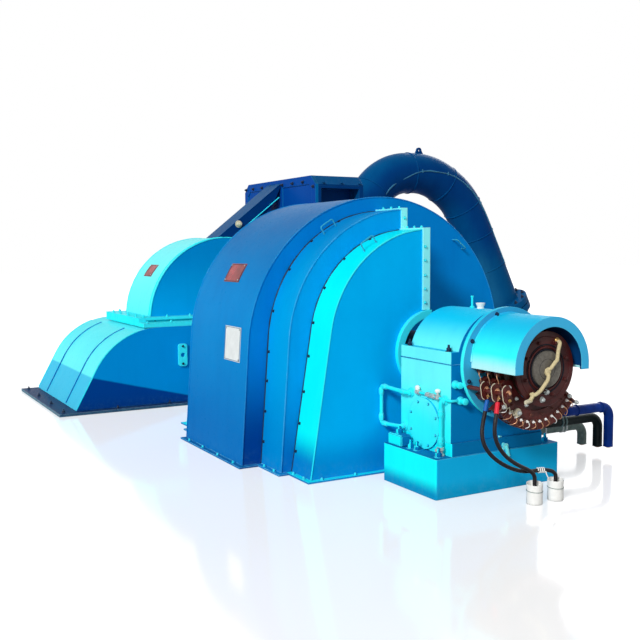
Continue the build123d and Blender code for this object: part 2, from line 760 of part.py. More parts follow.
lean = radians(TAIL_LEAN)
leg_height = CASING_TOP_Z - TAIL_R * (1 - cos(lean))
leg_foot = (-CASING_HALF_LENGTH + PLATE_THICKNESS / tan(lean), PLATE_THICKNESS)
leg_end = (-CASING_HALF_LENGTH + leg_height / tan(lean), leg_height)
tail_middle = (
    leg_end[0] + TAIL_R * (sin(lean) - sin(lean / 2)),
    CASING_TOP_Z - TAIL_R * (1 - cos(lean / 2)),
)
tail_top = (leg_end[0] + TAIL_R * sin(lean), CASING_TOP_Z)
with BuildPart() as lower_casing:
    with BuildSketch(section(CASING_REAR_Y)):
        with BuildLine():
            Line(leg_foot, leg_end)
            ThreePointArc(leg_end, tail_middle, tail_top)
            Line(tail_top, (0, CASING_TOP_Z))
            Line((0, CASING_TOP_Z), (0, PLATE_THICKNESS))
            Line((0, PLATE_THICKNESS), leg_foot)
        make_face()
        mirror(about=Plane.YZ)
    extrude(amount=CASING_REAR_Y - CASING_FRONT_Y)
    cut_shaft_trough(CASING_FRONT_Y)
save(lower_casing, "lower_casing")

# Bolted flange between the casing and the hood, with a slot for the bolts along its front
plate_left_x = BOX_LEFT_X - SIDE_PLATE_THICKNESS
flange_middle_x = (plate_left_x - HOOD_FLANGE_REACH) / 2
flange_length = plate_left_x + HOOD_FLANGE_REACH
flange_upper_z = CASING_TOP_Z + LOWER_FLANGE_THICKNESS + FLANGE_SLOT_HEIGHT
flange_top_z = flange_upper_z + UPPER_FLANGE_THICKNESS


def draw_flange(front_y):
    with Locations((flange_middle_x, (front_y + HOOD_FLANGE_REAR_Y) / 2)):
        Rectangle(flange_length, HOOD_FLANGE_REAR_Y - front_y)


with BuildPart() as hood_flange:
    with BuildSketch(Plane.XY.offset(CASING_TOP_Z)):
        draw_flange(CASING_FRONT_Y)
    extrude(amount=LOWER_FLANGE_THICKNESS)
    with BuildSketch(Plane.XY.offset(CASING_TOP_Z)):
        draw_flange(HOOD_FLANGE_FRONT_Y)
    extrude(amount=flange_top_z - CASING_TOP_Z)
    with BuildSketch(Plane.XY.offset(flange_upper_z - FLANGE_SLOT_HEIGHT)):
        with Locations((FLANGE_SLOT_INSET, HOOD_FLANGE_FRONT_Y)):
            Rectangle(2 * HOOD_FLANGE_REACH, 2 * FLANGE_SLOT_DEPTH)
    extrude(amount=FLANGE_SLOT_HEIGHT, mode=Mode.SUBTRACT)
    cut_shaft_trough(CASING_FRONT_Y)
save(hood_flange, "hood_flange")

# Half-round hood over the runner
with BuildPart() as runner_hood:
    with BuildSketch(section(HOOD_COVER_REAR_Y)):
        with Locations((0, HOOD_COVER_Z)):
            Circle(HOOD_COVER_R)
        with Locations((0, flange_top_z + HOOD_COVER_R / 2)):
            Rectangle(2 * HOOD_COVER_R, HOOD_COVER_R, mode=Mode.INTERSECT)
    extrude(amount=HOOD_COVER_REAR_Y - HOOD_COVER_FRONT_Y)
    cut_shaft_trough(HOOD_COVER_FRONT_Y)
save(runner_hood, "runner_hood")

# Drilled bracket on the front of the lower casing
with BuildPart() as side_bracket:
    with BuildSketch(section(CASING_FRONT_Y)):
        with Locations((BRACKET_X, BRACKET_Z)):
            RectangleRounded(BRACKET_WIDTH, BRACKET_HEIGHT, BRACKET_CORNER_R)
            Circle(BRACKET_HOLE_R, mode=Mode.SUBTRACT)
    extrude(amount=BRACKET_THICKNESS)
save(side_bracket, "side_bracket")

# Nozzle box beside the hood: a long box with chamfered shoulders, under a folded lid
box_middle_y = (BOX_FRONT_Y + BOX_REAR_Y) / 2
box_right_x = BOX_LEFT_X + BOX_LENGTH


def draw_box_end(drop=0, border=0, mode=Mode.ADD):
    """Box outline in the current sketch, its top lowered by a drop or drawn in by a border."""
    front_y = BOX_FRONT_Y + border
    bottom_z = CASING_TOP_Z + border
    eaves_z = BOX_EAVES_Z - drop - border / 2
    top_z = BOX_TOP_Z - drop - border
    chamfer_y = front_y + (top_z - eaves_z) * BOX_CHAMFER / (BOX_TOP_Z - BOX_EAVES_Z)
    with BuildLine(mode=Mode.PRIVATE) as outline:
        Polyline(
            (box_middle_y, bottom_z),
            (front_y, bottom_z),
            (front_y, eaves_z),
            (chamfer_y, top_z),
            (box_middle_y, top_z),
            close=True,
        )
    make_face(outline.edges(), mode=mode)


def whole_box(left_x, right_x, drop=0, hollow_drop=None):
    """Both halves of a piece that follows the box's outline."""
    with BuildPart() as piece:
        with BuildSketch(Plane.YZ.offset(left_x)):
            draw_box_end(drop)
            if hollow_drop is not None:
                draw_box_end(hollow_drop, mode=Mode.SUBTRACT)
        extrude(amount=right_x - left_x)
        mirror(about=Plane.XZ.offset(-box_middle_y))
    return piece


box_block = whole_box(BOX_LEFT_X, box_right_x, drop=LID_THICKNESS)
recess_length = BOX_LENGTH - BOX_COLUMN_LEFT - BOX_COLUMN_RIGHT
recess_middle_x = BOX_LEFT_X + BOX_COLUMN_LEFT + recess_length / 2
recess_bottom_z = CASING_TOP_Z + SIDE_PLATE_BORDER
with BuildPart() as nozzle_box:
    add(box_block.part)
    with BuildSketch(Plane.XY.offset(recess_bottom_z)):
        for wall_y in (BOX_FRONT_Y, BOX_REAR_Y):
            with Locations((recess_middle_x, wall_y)):
                Rectangle(recess_length, 2 * BOX_RECESS_DEPTH)
    extrude(amount=BOX_RECESS_TOP_Z - recess_bottom_z, mode=Mode.SUBTRACT)
save(nozzle_box, "nozzle_box")

nozzle_box_lid = whole_box(BOX_LEFT_X, box_right_x, hollow_drop=LID_THICKNESS)
save(nozzle_box_lid, "nozzle_box_lid")

# Side plate towards the hood: a raised border round two shallow pockets beside the duct's seat
side_plate = whole_box(plate_left_x, BOX_LEFT_X)
with BuildPart() as nozzle_side_plate:
    add(side_plate.part)
    with BuildSketch(Plane.YZ.offset(plate_left_x)):
        draw_box_end(border=SIDE_PLATE_BORDER)
        mirror(about=Plane.YZ.offset(box_middle_y))
        with Locations(((DUCT_FRONT_Y + DUCT_REAR_Y) / 2, BOX_TOP_Z / 2)):
            Rectangle(DUCT_REAR_Y - DUCT_FRONT_Y + SIDE_PLATE_BORDER, 2 * BOX_TOP_Z, mode=Mode.SUBTRACT)
    extrude(amount=SIDE_PLATE_POCKET, mode=Mode.SUBTRACT)
save(nozzle_side_plate, "nozzle_side_plate")


# Wedge-shaped duct from the side plate down on to the hood, with a raised band on its front
def hood_point(x):
    return (x, HOOD_COVER_Z + sqrt(HOOD_COVER_R**2 - x**2))


seat_high = hood_point(DUCT_HIGH_SEAT_X)
seat_low = hood_point(DUCT_LOW_SEAT_X)
seat_middle = hood_point((DUCT_HIGH_SEAT_X + DUCT_LOW_SEAT_X) / 2)
duct_corner = (plate_left_x, DUCT_TOP_Z)
duct_lip = (plate_left_x, DUCT_TOP_Z - DUCT_LIP)
duct_slope = atan2(duct_corner[1] - seat_high[1], duct_corner[0] - seat_high[0])
band_drop = DUCT_BAND_WIDTH / cos(duct_slope)


def draw_duct():
    with BuildLine(mode=Mode.PRIVATE) as outline:
        Polyline(seat_high, duct_corner, duct_lip, seat_low)
        ThreePointArc(seat_low, seat_middle, seat_high)
    make_face(outline.edges())


with BuildPart() as nozzle_duct:
    with BuildSketch(section(DUCT_REAR_Y)):
        draw_duct()
    extrude(amount=DUCT_REAR_Y - DUCT_FRONT_Y)
    with BuildSketch(section(DUCT_FRONT_Y)):
        draw_duct()
        with BuildLine(mode=Mode.PRIVATE) as band:
            Polyline(
                seat_high,
                duct_corner,
                (duct_corner[0], duct_corner[1] - band_drop),
                (seat_high[0], seat_high[1] - band_drop),
                close=True,
            )
        make_face(band.edges(), mode=Mode.INTERSECT)
    extrude(amount=DUCT_BAND_THICKNESS)
save(nozzle_duct, "nozzle_duct")

# Inlet pipe: a smooth bend out of the box's side, and an open leg with a bolted joint
pipe_route = ((box_right_x - PIPE_R / 2, PIPE_START_Z),) + PIPE_CORNERS
last_corner = PIPE_CORNERS[-1]
leg_run = hypot(PIPE_END[0] - last_corner[0], PIPE_END[1] - last_corner[1])
leg_dir = ((PIPE_END[0] - last_corner[0]) / leg_run, (PIPE_END[1] - last_corner[1]) / leg_run)
joint_length = 2 * PIPE_FLANGE_THICKNESS + PIPE_GASKET_THICKNESS
weld_run = leg_run - joint_length - PIPE_OPEN_LENGTH
weld = (last_corner[0] + weld_run * leg_dir[0], last_corner[1] + weld_run * leg_dir[1])


def bend_radii(points, share):
    """Radius at each corner that takes a share of the shorter run beside it."""
    radii = []
    for before, corner, after in zip(points, points[1:], points[2:]):
        run_in = Vector(*corner) - Vector(*before)
        run_out = Vector(*after) - Vector(*corner)
        half_turn = radians(run_in.get_angle(run_out)) / 2
        radii.append(share * min(run_in.length, run_out.length) / tan(half_turn))
    return radii


bend_points = [(x, NOZZLE_Y, z) for x, z in pipe_route + (weld,)]
with BuildPart() as inlet_elbow:
    with BuildLine() as bend_path:
        FilletPolyline(*bend_points, radius=bend_radii(bend_points, PIPE_BEND_SHARE))
    with BuildSketch(Plane(origin=bend_path.line @ 0, z_dir=bend_path.line % 0)):
        Circle(PIPE_R)
    sweep(path=bend_path.line)
    with BuildPart(mode=Mode.PRIVATE) as box_side:
        with Locations((box_right_x - PIPE_R, NOZZLE_Y, PIPE_START_Z)):
            Box(2 * PIPE_R, 4 * PIPE_R, 4 * PIPE_R)
    add(box_side.part, mode=Mode.SUBTRACT)
save(inlet_elbow, "inlet_elbow")

# Drilled lifting lug on top of the bend, flared towards the pipe
lug_seat = bend_path.line @ LUG_SHARE
lug_eye_z = lug_seat.Z + PIPE_R + LUG_RISE
lug_base_z = lug_eye_z - LUG_ROOT
print("lug eye", round(lug_seat.X, 3), round(lug_eye_z, 3))
with BuildPart() as pipe_lug:
    with BuildSketch(section(NOZZLE_Y + LUG_THICKNESS / 2)):
        with BuildLine() as flare:
            Polyline(
                (lug_seat.X - LUG_R, lug_eye_z),
                (lug_seat.X - LUG_BASE_HALF_WIDTH, lug_base_z),
                (lug_seat.X + LUG_BASE_HALF_WIDTH, lug_base_z),
                (lug_seat.X + LUG_R, lug_eye_z),
                close=True,
            )
        make_face(flare.edges())
        with Locations((lug_seat.X, lug_eye_z)):
            Circle(LUG_R)
            Circle(LUG_HOLE_R, mode=Mode.SUBTRACT)
    extrude(amount=LUG_THICKNESS)
    add(inlet_elbow.part, mode=Mode.SUBTRACT)
save(pipe_lug, "pipe_lug")

leg_plane = Plane(origin=(weld[0], NOZZLE_Y, weld[1]), z_dir=(leg_dir[0], 0, leg_dir[1]))
with BuildPart() as inlet_leg:
    with BuildSketch(leg_plane):
        Circle(PIPE_R)
        Circle(PIPE_R - PIPE_WALL, mode=Mode.SUBTRACT)
    extrude(amount=PIPE_OPEN_LENGTH)
save(inlet_leg, "inlet_leg")


def add_joint_ring(start, thickness, radius):
    """One ring of the bolted joint, a distance along the leg, drilled where it is wide enough."""
    with BuildSketch(leg_plane.offset(start)) as ring:
        Circle(radius)
        Circle(PIPE_R - PIPE_WALL, mode=Mode.SUBTRACT)
        if radius > PIPE_BOLT_CIRCLE_R:
            with PolarLocations(PIPE_BOLT_CIRCLE_R, PIPE_BOLT_COUNT):
                Circle(PIPE_BOLT_HOLE_R, mode=Mode.SUBTRACT)
    extrude(ring.sketch, amount=thickness)


# Two flanges of the bolted joint with the gasket between them
first_end = PIPE_OPEN_LENGTH + PIPE_FLANGE_THICKNESS
with BuildPart() as inlet_flange:
    add_joint_ring(PIPE_OPEN_LENGTH, PIPE_FLANGE_THICKNESS, PIPE_FLANGE_R)
    add_joint_ring(first_end, PIPE_GASKET_THICKNESS, PIPE_GASKET_R)
    add_joint_ring(first_end + PIPE_GASKET_THICKNESS, PIPE_FLANGE_THICKNESS, PIPE_FLANGE_R)
save(inlet_flange, "inlet_flange")

# Brush cables: routes chosen by hand, as lists of points
CABLE_ONE = (
    (-336, -2452, 732.6),
    (-367, -2470, 663),
    (-402, -2488, 594),
    (-428, -2506, 520),
    (-422, -2522, 444),
    (-380, -2536, 378),
    (-314, -2550, 320),
    (-238, -2560, 275),
    (-150, -2566, 240),
    (-55, -2568, 222),
    (50, -2574, 224),
    (126, -2588, 214),
    (166, -2600, 188),
    (166, -2600, 152),
)
CABLE_TWO = (
    (-338, -2562, 733),
    (-364, -2583, 670),
    (-390, -2598, 607),
    (-398, -2601, 542),
    (-382, -2603, 476),
    (-340, -2604, 409),
    (-275, -2604, 347),
    (-190, -2604, 293),
    (-105, -2604, 254),
    (-52, -2602, 222),
    (-30, -2600, 190),
    (-30, -2600, 152),
)


def brush_cable(name, points):
    radii = bend_radii(points, CABLE_BEND_SHARE)
    with BuildPart() as cable:
        with BuildLine() as path:
            FilletPolyline(*points, radius=radii)
        first = Vector(*points[1]) - Vector(*points[0])
        with BuildSketch(Plane(origin=points[0], z_dir=first)):
            Circle(CABLE_R)
        sweep(path=path.line)
    save(cable, name)
    length = path.wire().length
    tube_volume = pi * CABLE_R**2 * length
    print(name, "radii", [round(radius) for radius in radii], "length", round(length))
    print(name, "volume share", round(cable.part.volume / tube_volume, 4))


brush_cable("brush_cable_one", CABLE_ONE)
brush_cable("brush_cable_two", CABLE_TWO)
for end_name, end_point in (("cable_end_one", CABLE_ONE[-1]), ("cable_end_two", CABLE_TWO[-1])):
    with BuildPart() as cable_end:
        with BuildSketch(Plane.XY):
            with Locations(end_point[:2]):
                Circle(CABLE_END_R)
        extrude(amount=CABLE_END_HEIGHT)
    save(cable_end, end_name)
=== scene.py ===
# %% [markdown]
# A horizontal water-turbine generator set, dressed for its photograph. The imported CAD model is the
# frame: it fixes every size and place. This lesson adds the paint, the welds, the bolts, the brush
# gear and the cables, one kind of piece at a time, and explains each choice as it goes.

import math
import random

import bmesh
import bpy
from mathutils import Matrix, Vector


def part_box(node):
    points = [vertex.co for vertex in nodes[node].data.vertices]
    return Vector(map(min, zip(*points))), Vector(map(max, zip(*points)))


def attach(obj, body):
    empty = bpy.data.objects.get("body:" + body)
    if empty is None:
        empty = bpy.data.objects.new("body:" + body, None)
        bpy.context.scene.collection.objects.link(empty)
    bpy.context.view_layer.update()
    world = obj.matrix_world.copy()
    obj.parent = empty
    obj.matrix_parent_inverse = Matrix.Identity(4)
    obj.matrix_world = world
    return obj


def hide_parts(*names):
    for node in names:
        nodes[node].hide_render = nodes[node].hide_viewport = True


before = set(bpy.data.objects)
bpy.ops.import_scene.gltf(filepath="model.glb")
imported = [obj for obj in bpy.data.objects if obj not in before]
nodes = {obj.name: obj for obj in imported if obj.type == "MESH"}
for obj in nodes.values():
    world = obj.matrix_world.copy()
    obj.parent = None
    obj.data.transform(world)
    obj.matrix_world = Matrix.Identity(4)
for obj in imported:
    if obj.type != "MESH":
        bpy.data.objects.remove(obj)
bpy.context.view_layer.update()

# %% [markdown]
# The camera comes first, because every later choice is judged through it. Its place, its angles and
# its lens were worked out from straight edges of the machine whose sizes are known from the CAD
# model, so a piece that sits right in the frame also sits right in the picture.

# %% Camera at the photograph's place
camera_data = bpy.data.cameras.new("photo_camera")
camera_data.sensor_width = 36.0
camera_data.lens = 49.665
camera = bpy.data.objects.new("photo_camera", camera_data)
camera.location = (-4.2752, -7.1272, 1.7767)
camera.rotation_euler = tuple(math.radians(a) for a in (85.390, 0.311, -29.329))
bpy.context.scene.collection.objects.link(camera)
bpy.context.scene.camera = camera
bpy.context.scene.view_settings.view_transform = "Standard"
print("camera height", camera.location.z)

# %% [markdown]
# A shader node group is a small machine with named inputs and outputs. Building one by hand takes
# many lines, so a few helpers keep it short: one opens a group with its sockets, one adds a node
# with its settings, one joins two sockets, and two more do the sums and blends that every group needs.


# %% Helpers for shader nodes
def new_group(name, inputs, outputs):
    """An empty shader group with sockets given as (name, kind, default)."""
    group = bpy.data.node_groups.new(name, "ShaderNodeTree")
    for socket_name, kind, default in inputs:
        socket = group.interface.new_socket(socket_name, in_out="INPUT", socket_type=kind)
        socket.default_value = default
    for socket_name, kind in outputs:
        group.interface.new_socket(socket_name, in_out="OUTPUT", socket_type=kind)
    return group


def add_node(tree, kind, values=None, **settings):
    """One node with its settings and its unlinked input values."""
    node = tree.nodes.new(kind)
    for key, value in settings.items():
        setattr(node, key, value)
    for key, value in (values or {}).items():
        node.inputs[key].default_value = value
    return node


def join(tree, source, target):
    tree.links.new(source, target)


def feed(tree, value, target):
    """Joins a socket, or sets a plain value."""
    if isinstance(value, bpy.types.NodeSocket):
        join(tree, value, target)
    else:
        target.default_value = value


def sum_node(tree, operation, first, second, clamp=False):
    """The result of one sum with two numbers or sockets."""
    node = add_node(tree, "ShaderNodeMath", operation=operation, use_clamp=clamp)
    feed(tree, first, node.inputs[0])
    feed(tree, second, node.inputs[1])
    return node.outputs[0]


def blend(tree, factor, first, second, blend_type="MIX"):
    """The colour between two colours."""
    node = add_node(tree, "ShaderNodeMix", data_type="RGBA", blend_type=blend_type)
    feed(tree, factor, node.inputs["Factor"])
    feed(tree, first, node.inputs["A"])
    feed(tree, second, node.inputs["B"])
    return node.outputs["Result"]


def remap(tree, value, low, high, to_low=0.0, to_high=1.0, soft=False):
    """A number moved from one range to another and held inside it."""
    node = add_node(tree, "ShaderNodeMapRange", interpolation_type="SMOOTHSTEP" if soft else "LINEAR")
    for socket, number in zip(("Value", "From Min", "From Max", "To Min", "To Max"),
                              (value, low, high, to_low, to_high)):
        feed(tree, number, node.inputs[socket])
    return node.outputs["Result"]


NUMBER = "NodeSocketFloat"
COLOUR = "NodeSocketColor"


def srgb(red, green, blue):
    """A colour picked on screen, 0 to 255, as the linear values that nodes work in."""
    linear = []
    for part in (red, green, blue):
        share = part / 255
        linear.append(share / 12.92 if share <= 0.04045 else ((share + 0.055) / 1.055) ** 2.4)
    return (*linear, 1.0)


# %% [markdown]
# The group paints light and shade into the colour. A face that looks to the left, towards the key lamp, gets a lit
# tone. A wall that faces the shaft's end gets a shaded tone. The crowns get a tone of their own. A low band near the
# floor changes the colour, mostly as painted shade that darkens it towards the bottom. So the group takes a colour for
# each way that a face can look, and reads the face's own direction, not the camera's. On top come slow drifts of tone,
# runs down upright faces, fine specks, and the orange-peel skin of sprayed enamel.


# %% The paint skin with painted light and shade as a shader group
def make_paint_group():
    group = new_group(
        "paint_skin_and_painted_light",
        [
            ("Side Colour", COLOUR, (0.0, 0.25, 0.6, 1)),
            ("Front Colour", COLOUR, (0.0, 0.2, 0.5, 1)),
            ("Top Colour", COLOUR, (0.0, 0.15, 0.4, 1)),
            ("Low Side Colour", COLOUR, (0.0, 0.12, 0.4, 1)),
            ("Low Front Colour", COLOUR, (0.0, 0.12, 0.4, 1)),
            ("Low Height", NUMBER, 0.3),
            ("Low Fade", NUMBER, 0.3),
            ("Low Wobble", NUMBER, 0.25),
            ("Low Slope", NUMBER, 0.0),
            ("Drift", NUMBER, 0.5),
            ("Runs", NUMBER, 0.3),
            ("Dust", NUMBER, 0.2),
            ("Peel", NUMBER, 0.3),
        ],
        [("Colour", COLOUR), ("Roughness", NUMBER), ("Height", NUMBER)],
    )
    entry = add_node(group, "NodeGroupInput").outputs
    leave = add_node(group, "NodeGroupOutput").inputs
    place = add_node(group, "ShaderNodeTexCoord").outputs
    facing = add_node(group, "ShaderNodeSeparateXYZ")
    join(group, place["Normal"], facing.inputs["Vector"])
    spot = add_node(group, "ShaderNodeSeparateXYZ")
    join(group, place["Object"], spot.inputs["Vector"])
    cloud = add_node(group, "ShaderNodeTexNoise", {"Scale": 1.3, "Detail": 5.0, "Roughness": 0.6})
    join(group, place["Object"], cloud.inputs["Vector"])
    squeeze = add_node(group, "ShaderNodeMapping", {"Scale": (9.0, 9.0, 0.7)})
    join(group, place["Object"], squeeze.inputs["Vector"])
    streak = add_node(group, "ShaderNodeTexNoise", {"Scale": 1.0, "Detail": 4.0, "Roughness": 0.7})
    join(group, squeeze.outputs["Vector"], streak.inputs["Vector"])
    speck = add_node(group, "ShaderNodeTexNoise", {"Scale": 22.0, "Detail": 6.0, "Roughness": 0.7})
    join(group, place["Object"], speck.inputs["Vector"])
    # Painted light and shade: the face's direction picks the lit side colour, the shaded front colour or the top
    # colour.
    to_side = remap(group, facing.outputs["X"], -0.15, -0.75, soft=True)
    to_top = remap(group, facing.outputs["Z"], 0.2, 0.9, soft=True)
    wobble = sum_node(group, "MULTIPLY", sum_node(group, "SUBTRACT", cloud.outputs["Fac"], 0.5),
                      entry["Low Wobble"])
    # The low band is painted shade towards the bottom, and on some paints a painted highlight.
    tilted = sum_node(group, "MULTIPLY", spot.outputs["X"], entry["Low Slope"])
    height = sum_node(group, "ADD", sum_node(group, "ADD", spot.outputs["Z"], tilted), wobble)
    fade_start = sum_node(group, "ADD", entry["Low Height"], entry["Low Fade"])
    to_low = remap(group, height, fade_start, entry["Low Height"], soft=True)
    front = blend(group, to_low, entry["Front Colour"], entry["Low Front Colour"])
    side = blend(group, to_low, entry["Side Colour"], entry["Low Side Colour"])
    upright = blend(group, to_side, front, side)
    whole = blend(group, to_top, upright, entry["Top Colour"])
    drift = sum_node(group, "MULTIPLY", remap(group, cloud.outputs["Fac"], 0.35, 0.68), entry["Drift"])
    runs = sum_node(group, "MULTIPLY", remap(group, streak.outputs["Fac"], 0.48, 0.75), entry["Runs"])
    both = sum_node(group, "ADD", drift, runs, clamp=True)
    deep = blend(group, 1.0, whole, (0.55, 0.72, 0.84, 1), "MULTIPLY")
    tone = blend(group, both, whole, deep)
    patchy = remap(group, speck.outputs["Fac"], 0.45, 0.68)
    near_floor = remap(group, spot.outputs["Z"], 0.16, 0.0)
    upward = remap(group, facing.outputs["Z"], 0.75, 1.0, 0.0, 0.5)
    settled = sum_node(group, "MULTIPLY", sum_node(group, "MAXIMUM", near_floor, upward), patchy)
    dusty = sum_node(group, "MULTIPLY", settled, entry["Dust"], clamp=True)
    join(group, blend(group, dusty, tone, srgb(130, 190, 210)), leave["Colour"])
    rough = remap(group, speck.outputs["Fac"], 0.3, 0.7, 0.24, 0.42)
    join(group, sum_node(group, "ADD", rough, dusty, clamp=True), leave["Roughness"])
    peel = add_node(group, "ShaderNodeTexNoise", {"Scale": 260.0, "Detail": 2.0})
    join(group, place["Object"], peel.inputs["Vector"])
    dent = add_node(group, "ShaderNodeTexNoise", {"Scale": 4.0, "Detail": 2.0})
    join(group, place["Object"], dent.inputs["Vector"])
    peel_high = sum_node(group, "MULTIPLY", peel.outputs["Fac"], entry["Peel"])
    dent_high = sum_node(group, "MULTIPLY", dent.outputs["Fac"], 3.0)
    join(group, sum_node(group, "ADD", peel_high, dent_high), leave["Height"])
    return group


paint_group = make_paint_group()
print("paint group nodes", len(paint_group.nodes))


# %% [markdown]
# Thick enamel draws thin on a sharp edge and wears there, and a rounded edge catches the light. A second group finds
# edges: it compares the face's own direction with the one that the Bevel node gives, which turns near a corner. It puts
# out a mask for a paler rim, which is wear and a painted highlight of the light on the edge together, broken up by
# noise, and a rounded normal, so sheet edges look folded.


# %% The worn edge with its painted highlight as a shader group
def make_edge_group():
    group = new_group(
        "edge_wear_and_highlight",
        [("Width", NUMBER, 0.01), ("Amount", NUMBER, 0.5)],
        [("Mask", NUMBER), ("Normal", "NodeSocketVector")],
    )
    entry = add_node(group, "NodeGroupInput").outputs
    leave = add_node(group, "NodeGroupOutput").inputs
    rounded = add_node(group, "ShaderNodeBevel", samples=6)
    join(group, entry["Width"], rounded.inputs["Radius"])
    surface = add_node(group, "ShaderNodeNewGeometry")
    match = add_node(group, "ShaderNodeVectorMath", operation="DOT_PRODUCT")
    join(group, rounded.outputs["Normal"], match.inputs[0])
    join(group, surface.outputs["Normal"], match.inputs[1])
    mask = remap(group, match.outputs["Value"], 0.985, 0.86)
    place = add_node(group, "ShaderNodeTexCoord")
    breaks = add_node(group, "ShaderNodeTexNoise", {"Scale": 5.0, "Detail": 4.0, "Roughness": 0.7})
    join(group, place.outputs["Object"], breaks.inputs["Vector"])
    kept = remap(group, breaks.outputs["Fac"], 0.40, 0.60, 0.25, 1.0)
    worn = sum_node(group, "MULTIPLY", mask, kept)
    join(group, sum_node(group, "MULTIPLY", worn, entry["Amount"], clamp=True), leave["Mask"])
    join(group, rounded.outputs["Normal"], leave["Normal"])
    return group


edge_group = make_edge_group()
print("edge group nodes", len(edge_group.nodes))


# %% [markdown]
# Each paint is the same shader with its own numbers. The bump is small: sheet steel is flat to a
# millimetre or two over a metre, and the skin of the paint is only a tenth of a millimetre high. The
# specular level is low, because old enamel is satin and its colour must stay full.


# %% Paints for the covers, the bearings and the inlet
PAINT_SPECULAR = 0.015


def new_material(name):
    """A material whose Principled shader is ready, with the tree and the shader."""
    material = bpy.data.materials.new(name)
    material.use_nodes = True
    return material, material.node_tree, material.node_tree.nodes["Principled BSDF"]


def make_paint(name, side, front, top, low_side, low_front, low=(0.1, 0.3, 0.25, 0.0), drift=0.35,
               runs=0.25, dust=0.1, peel=0.3, edge=0.35, edge_width=0.008, edge_colour=(120, 232, 250)):
    material, tree, shader = new_material(name)
    skin = add_node(tree, "ShaderNodeGroup", node_tree=paint_group)
    values = {
        "Side Colour": srgb(*side), "Front Colour": srgb(*front), "Top Colour": srgb(*top),
        "Low Side Colour": srgb(*low_side), "Low Front Colour": srgb(*low_front),
        "Low Height": low[0], "Low Fade": low[1], "Low Wobble": low[2],
        "Low Slope": low[3], "Drift": drift, "Runs": runs, "Dust": dust, "Peel": peel,
    }
    for socket, value in values.items():
        skin.inputs[socket].default_value = value
    rim = add_node(tree, "ShaderNodeGroup", {"Width": edge_width, "Amount": edge}, node_tree=edge_group)
    colour = blend(tree, rim.outputs["Mask"], skin.outputs["Colour"], srgb(*edge_colour))
    join(tree, colour, shader.inputs["Base Color"])
    join(tree, skin.outputs["Roughness"], shader.inputs["Roughness"])
    bump = add_node(tree, "ShaderNodeBump", {"Strength": 0.35, "Distance": 0.0012})
    join(tree, skin.outputs["Height"], bump.inputs["Height"])
    join(tree, rim.outputs["Normal"], bump.inputs["Normal"])
    join(tree, bump.outputs["Normal"], shader.inputs["Normal"])
    shader.inputs["Specular IOR Level"].default_value = PAINT_SPECULAR
    return material


# The side, front, top and low colours of each paint below are painted light and shade. The side colour is the lit tone
# of faces that look to the left, towards the key lamp, and where it is near white it is a painted highlight. The front
# and top colours are the tones of faces in more shade. The low colours change the paint towards the bottom, mostly as
# painted shade.
main_paint = make_paint("main_cover_paint", (0, 140, 212), (2, 138, 218), (2, 112, 178), (2, 118, 194),
                        (0, 68, 146), low=(0.15, 0.9, 0.3, 0.0), drift=0.45, edge=0.8, edge_width=0.012,
                        edge_colour=(110, 206, 240))
large_paint = make_paint("large_cover_paint", (0, 166, 232), (2, 162, 236), (2, 142, 210), (0, 140, 212),
                         (2, 122, 198), low=(0.1, 0.8, 0.2, 0.0), edge=0.8, edge_width=0.012,
                         edge_colour=(150, 232, 252))
small_paint = make_paint("small_cover_paint", (8, 255, 255), (0, 186, 252), (2, 244, 255), (2, 132, 204),
                         (0, 150, 222), low=(0.10, 0.28, 0.1, 0.0), runs=0.1)
flange_paint = make_paint("bright_flange_paint", (30, 250, 255), (60, 244, 252), (60, 240, 250), (30, 240, 250),
                          (20, 210, 244), edge=0.6)
# The split flange's near-white colours and white edge are a painted highlight.
strip_paint = make_paint("split_flange_paint", (120, 255, 255), (150, 255, 255), (120, 255, 255), (40, 240, 252),
                         (40, 240, 252), runs=0.1, edge=0.6, edge_colour=(230, 255, 255))
bearing_paint = make_paint("bearing_paint", (112, 255, 255), (2, 134, 200), (8, 205, 246), (50, 254, 255),
                           (2, 128, 194), low=(0.45, 0.4, 0.3, 0.0), runs=0.15, edge=0.5)
base_paint = make_paint("base_block_paint", (20, 254, 255), (18, 184, 238), (4, 118, 180), (8, 146, 196),
                        (14, 162, 212), low=(0.02, 0.12, 0.02, 0.0), runs=0.15, edge=0.6)
disc_paint = make_paint("end_disc_paint", (60, 255, 255), (60, 170, 214), (22, 206, 244), (60, 252, 255),
                        (60, 166, 212), runs=0.15, edge=0.5)
# On the hood the low side colour is near white: a painted highlight on the lower part of its left side.
hood_paint = make_paint("slip_ring_hood_paint", (56, 255, 255), (72, 190, 236), (22, 200, 242), (190, 255, 255),
                        (72, 190, 236), low=(0.94, 0.12, 0.05, 0.0), runs=0.15, edge=0.5)
# On the casing the low band slopes with x and paints a dark zone across the lower front: a painted shadow.
casing_paint = make_paint("turbine_casing_paint", (108, 248, 252), (0, 148, 222), (90, 242, 250), (22, 170, 228),
                          (0, 66, 146), low=(-0.08, 0.025, 0.02, 0.253), drift=0.2, runs=0.15, edge=0.5)
crown_paint = make_paint("runner_hood_paint", (110, 250, 253), (0, 146, 216), (120, 250, 253), (100, 248, 252),
                         (0, 172, 238), low=(1.1, 0.7, 0.1, 0.0), drift=0.2, runs=0.15, edge=0.5)
# The base plate's dark top colour is a painted shadow.
plate_paint = make_paint("base_plate_paint", (84, 130, 156), (40, 78, 110), (8, 44, 92), (90, 126, 146),
                         (50, 84, 112), dust=0.2, edge=0.7, edge_colour=(170, 186, 196))
inlet_paint = make_paint("deep_inlet_paint", (2, 78, 134), (2, 62, 124), (2, 84, 136), (24, 100, 144),
                         (6, 82, 132), low=(1.4, 0.6, 0.3, 0.0), drift=0.6, runs=0.5, edge=0.6,
                         edge_colour=(60, 130, 170))
side_plate_paint = make_paint("side_plate_paint", (2, 74, 160), (2, 112, 176), (10, 84, 130), (2, 74, 160),
                              (2, 112, 176), runs=0.4, edge=0.5, edge_colour=(60, 150, 190))
print("paints made")
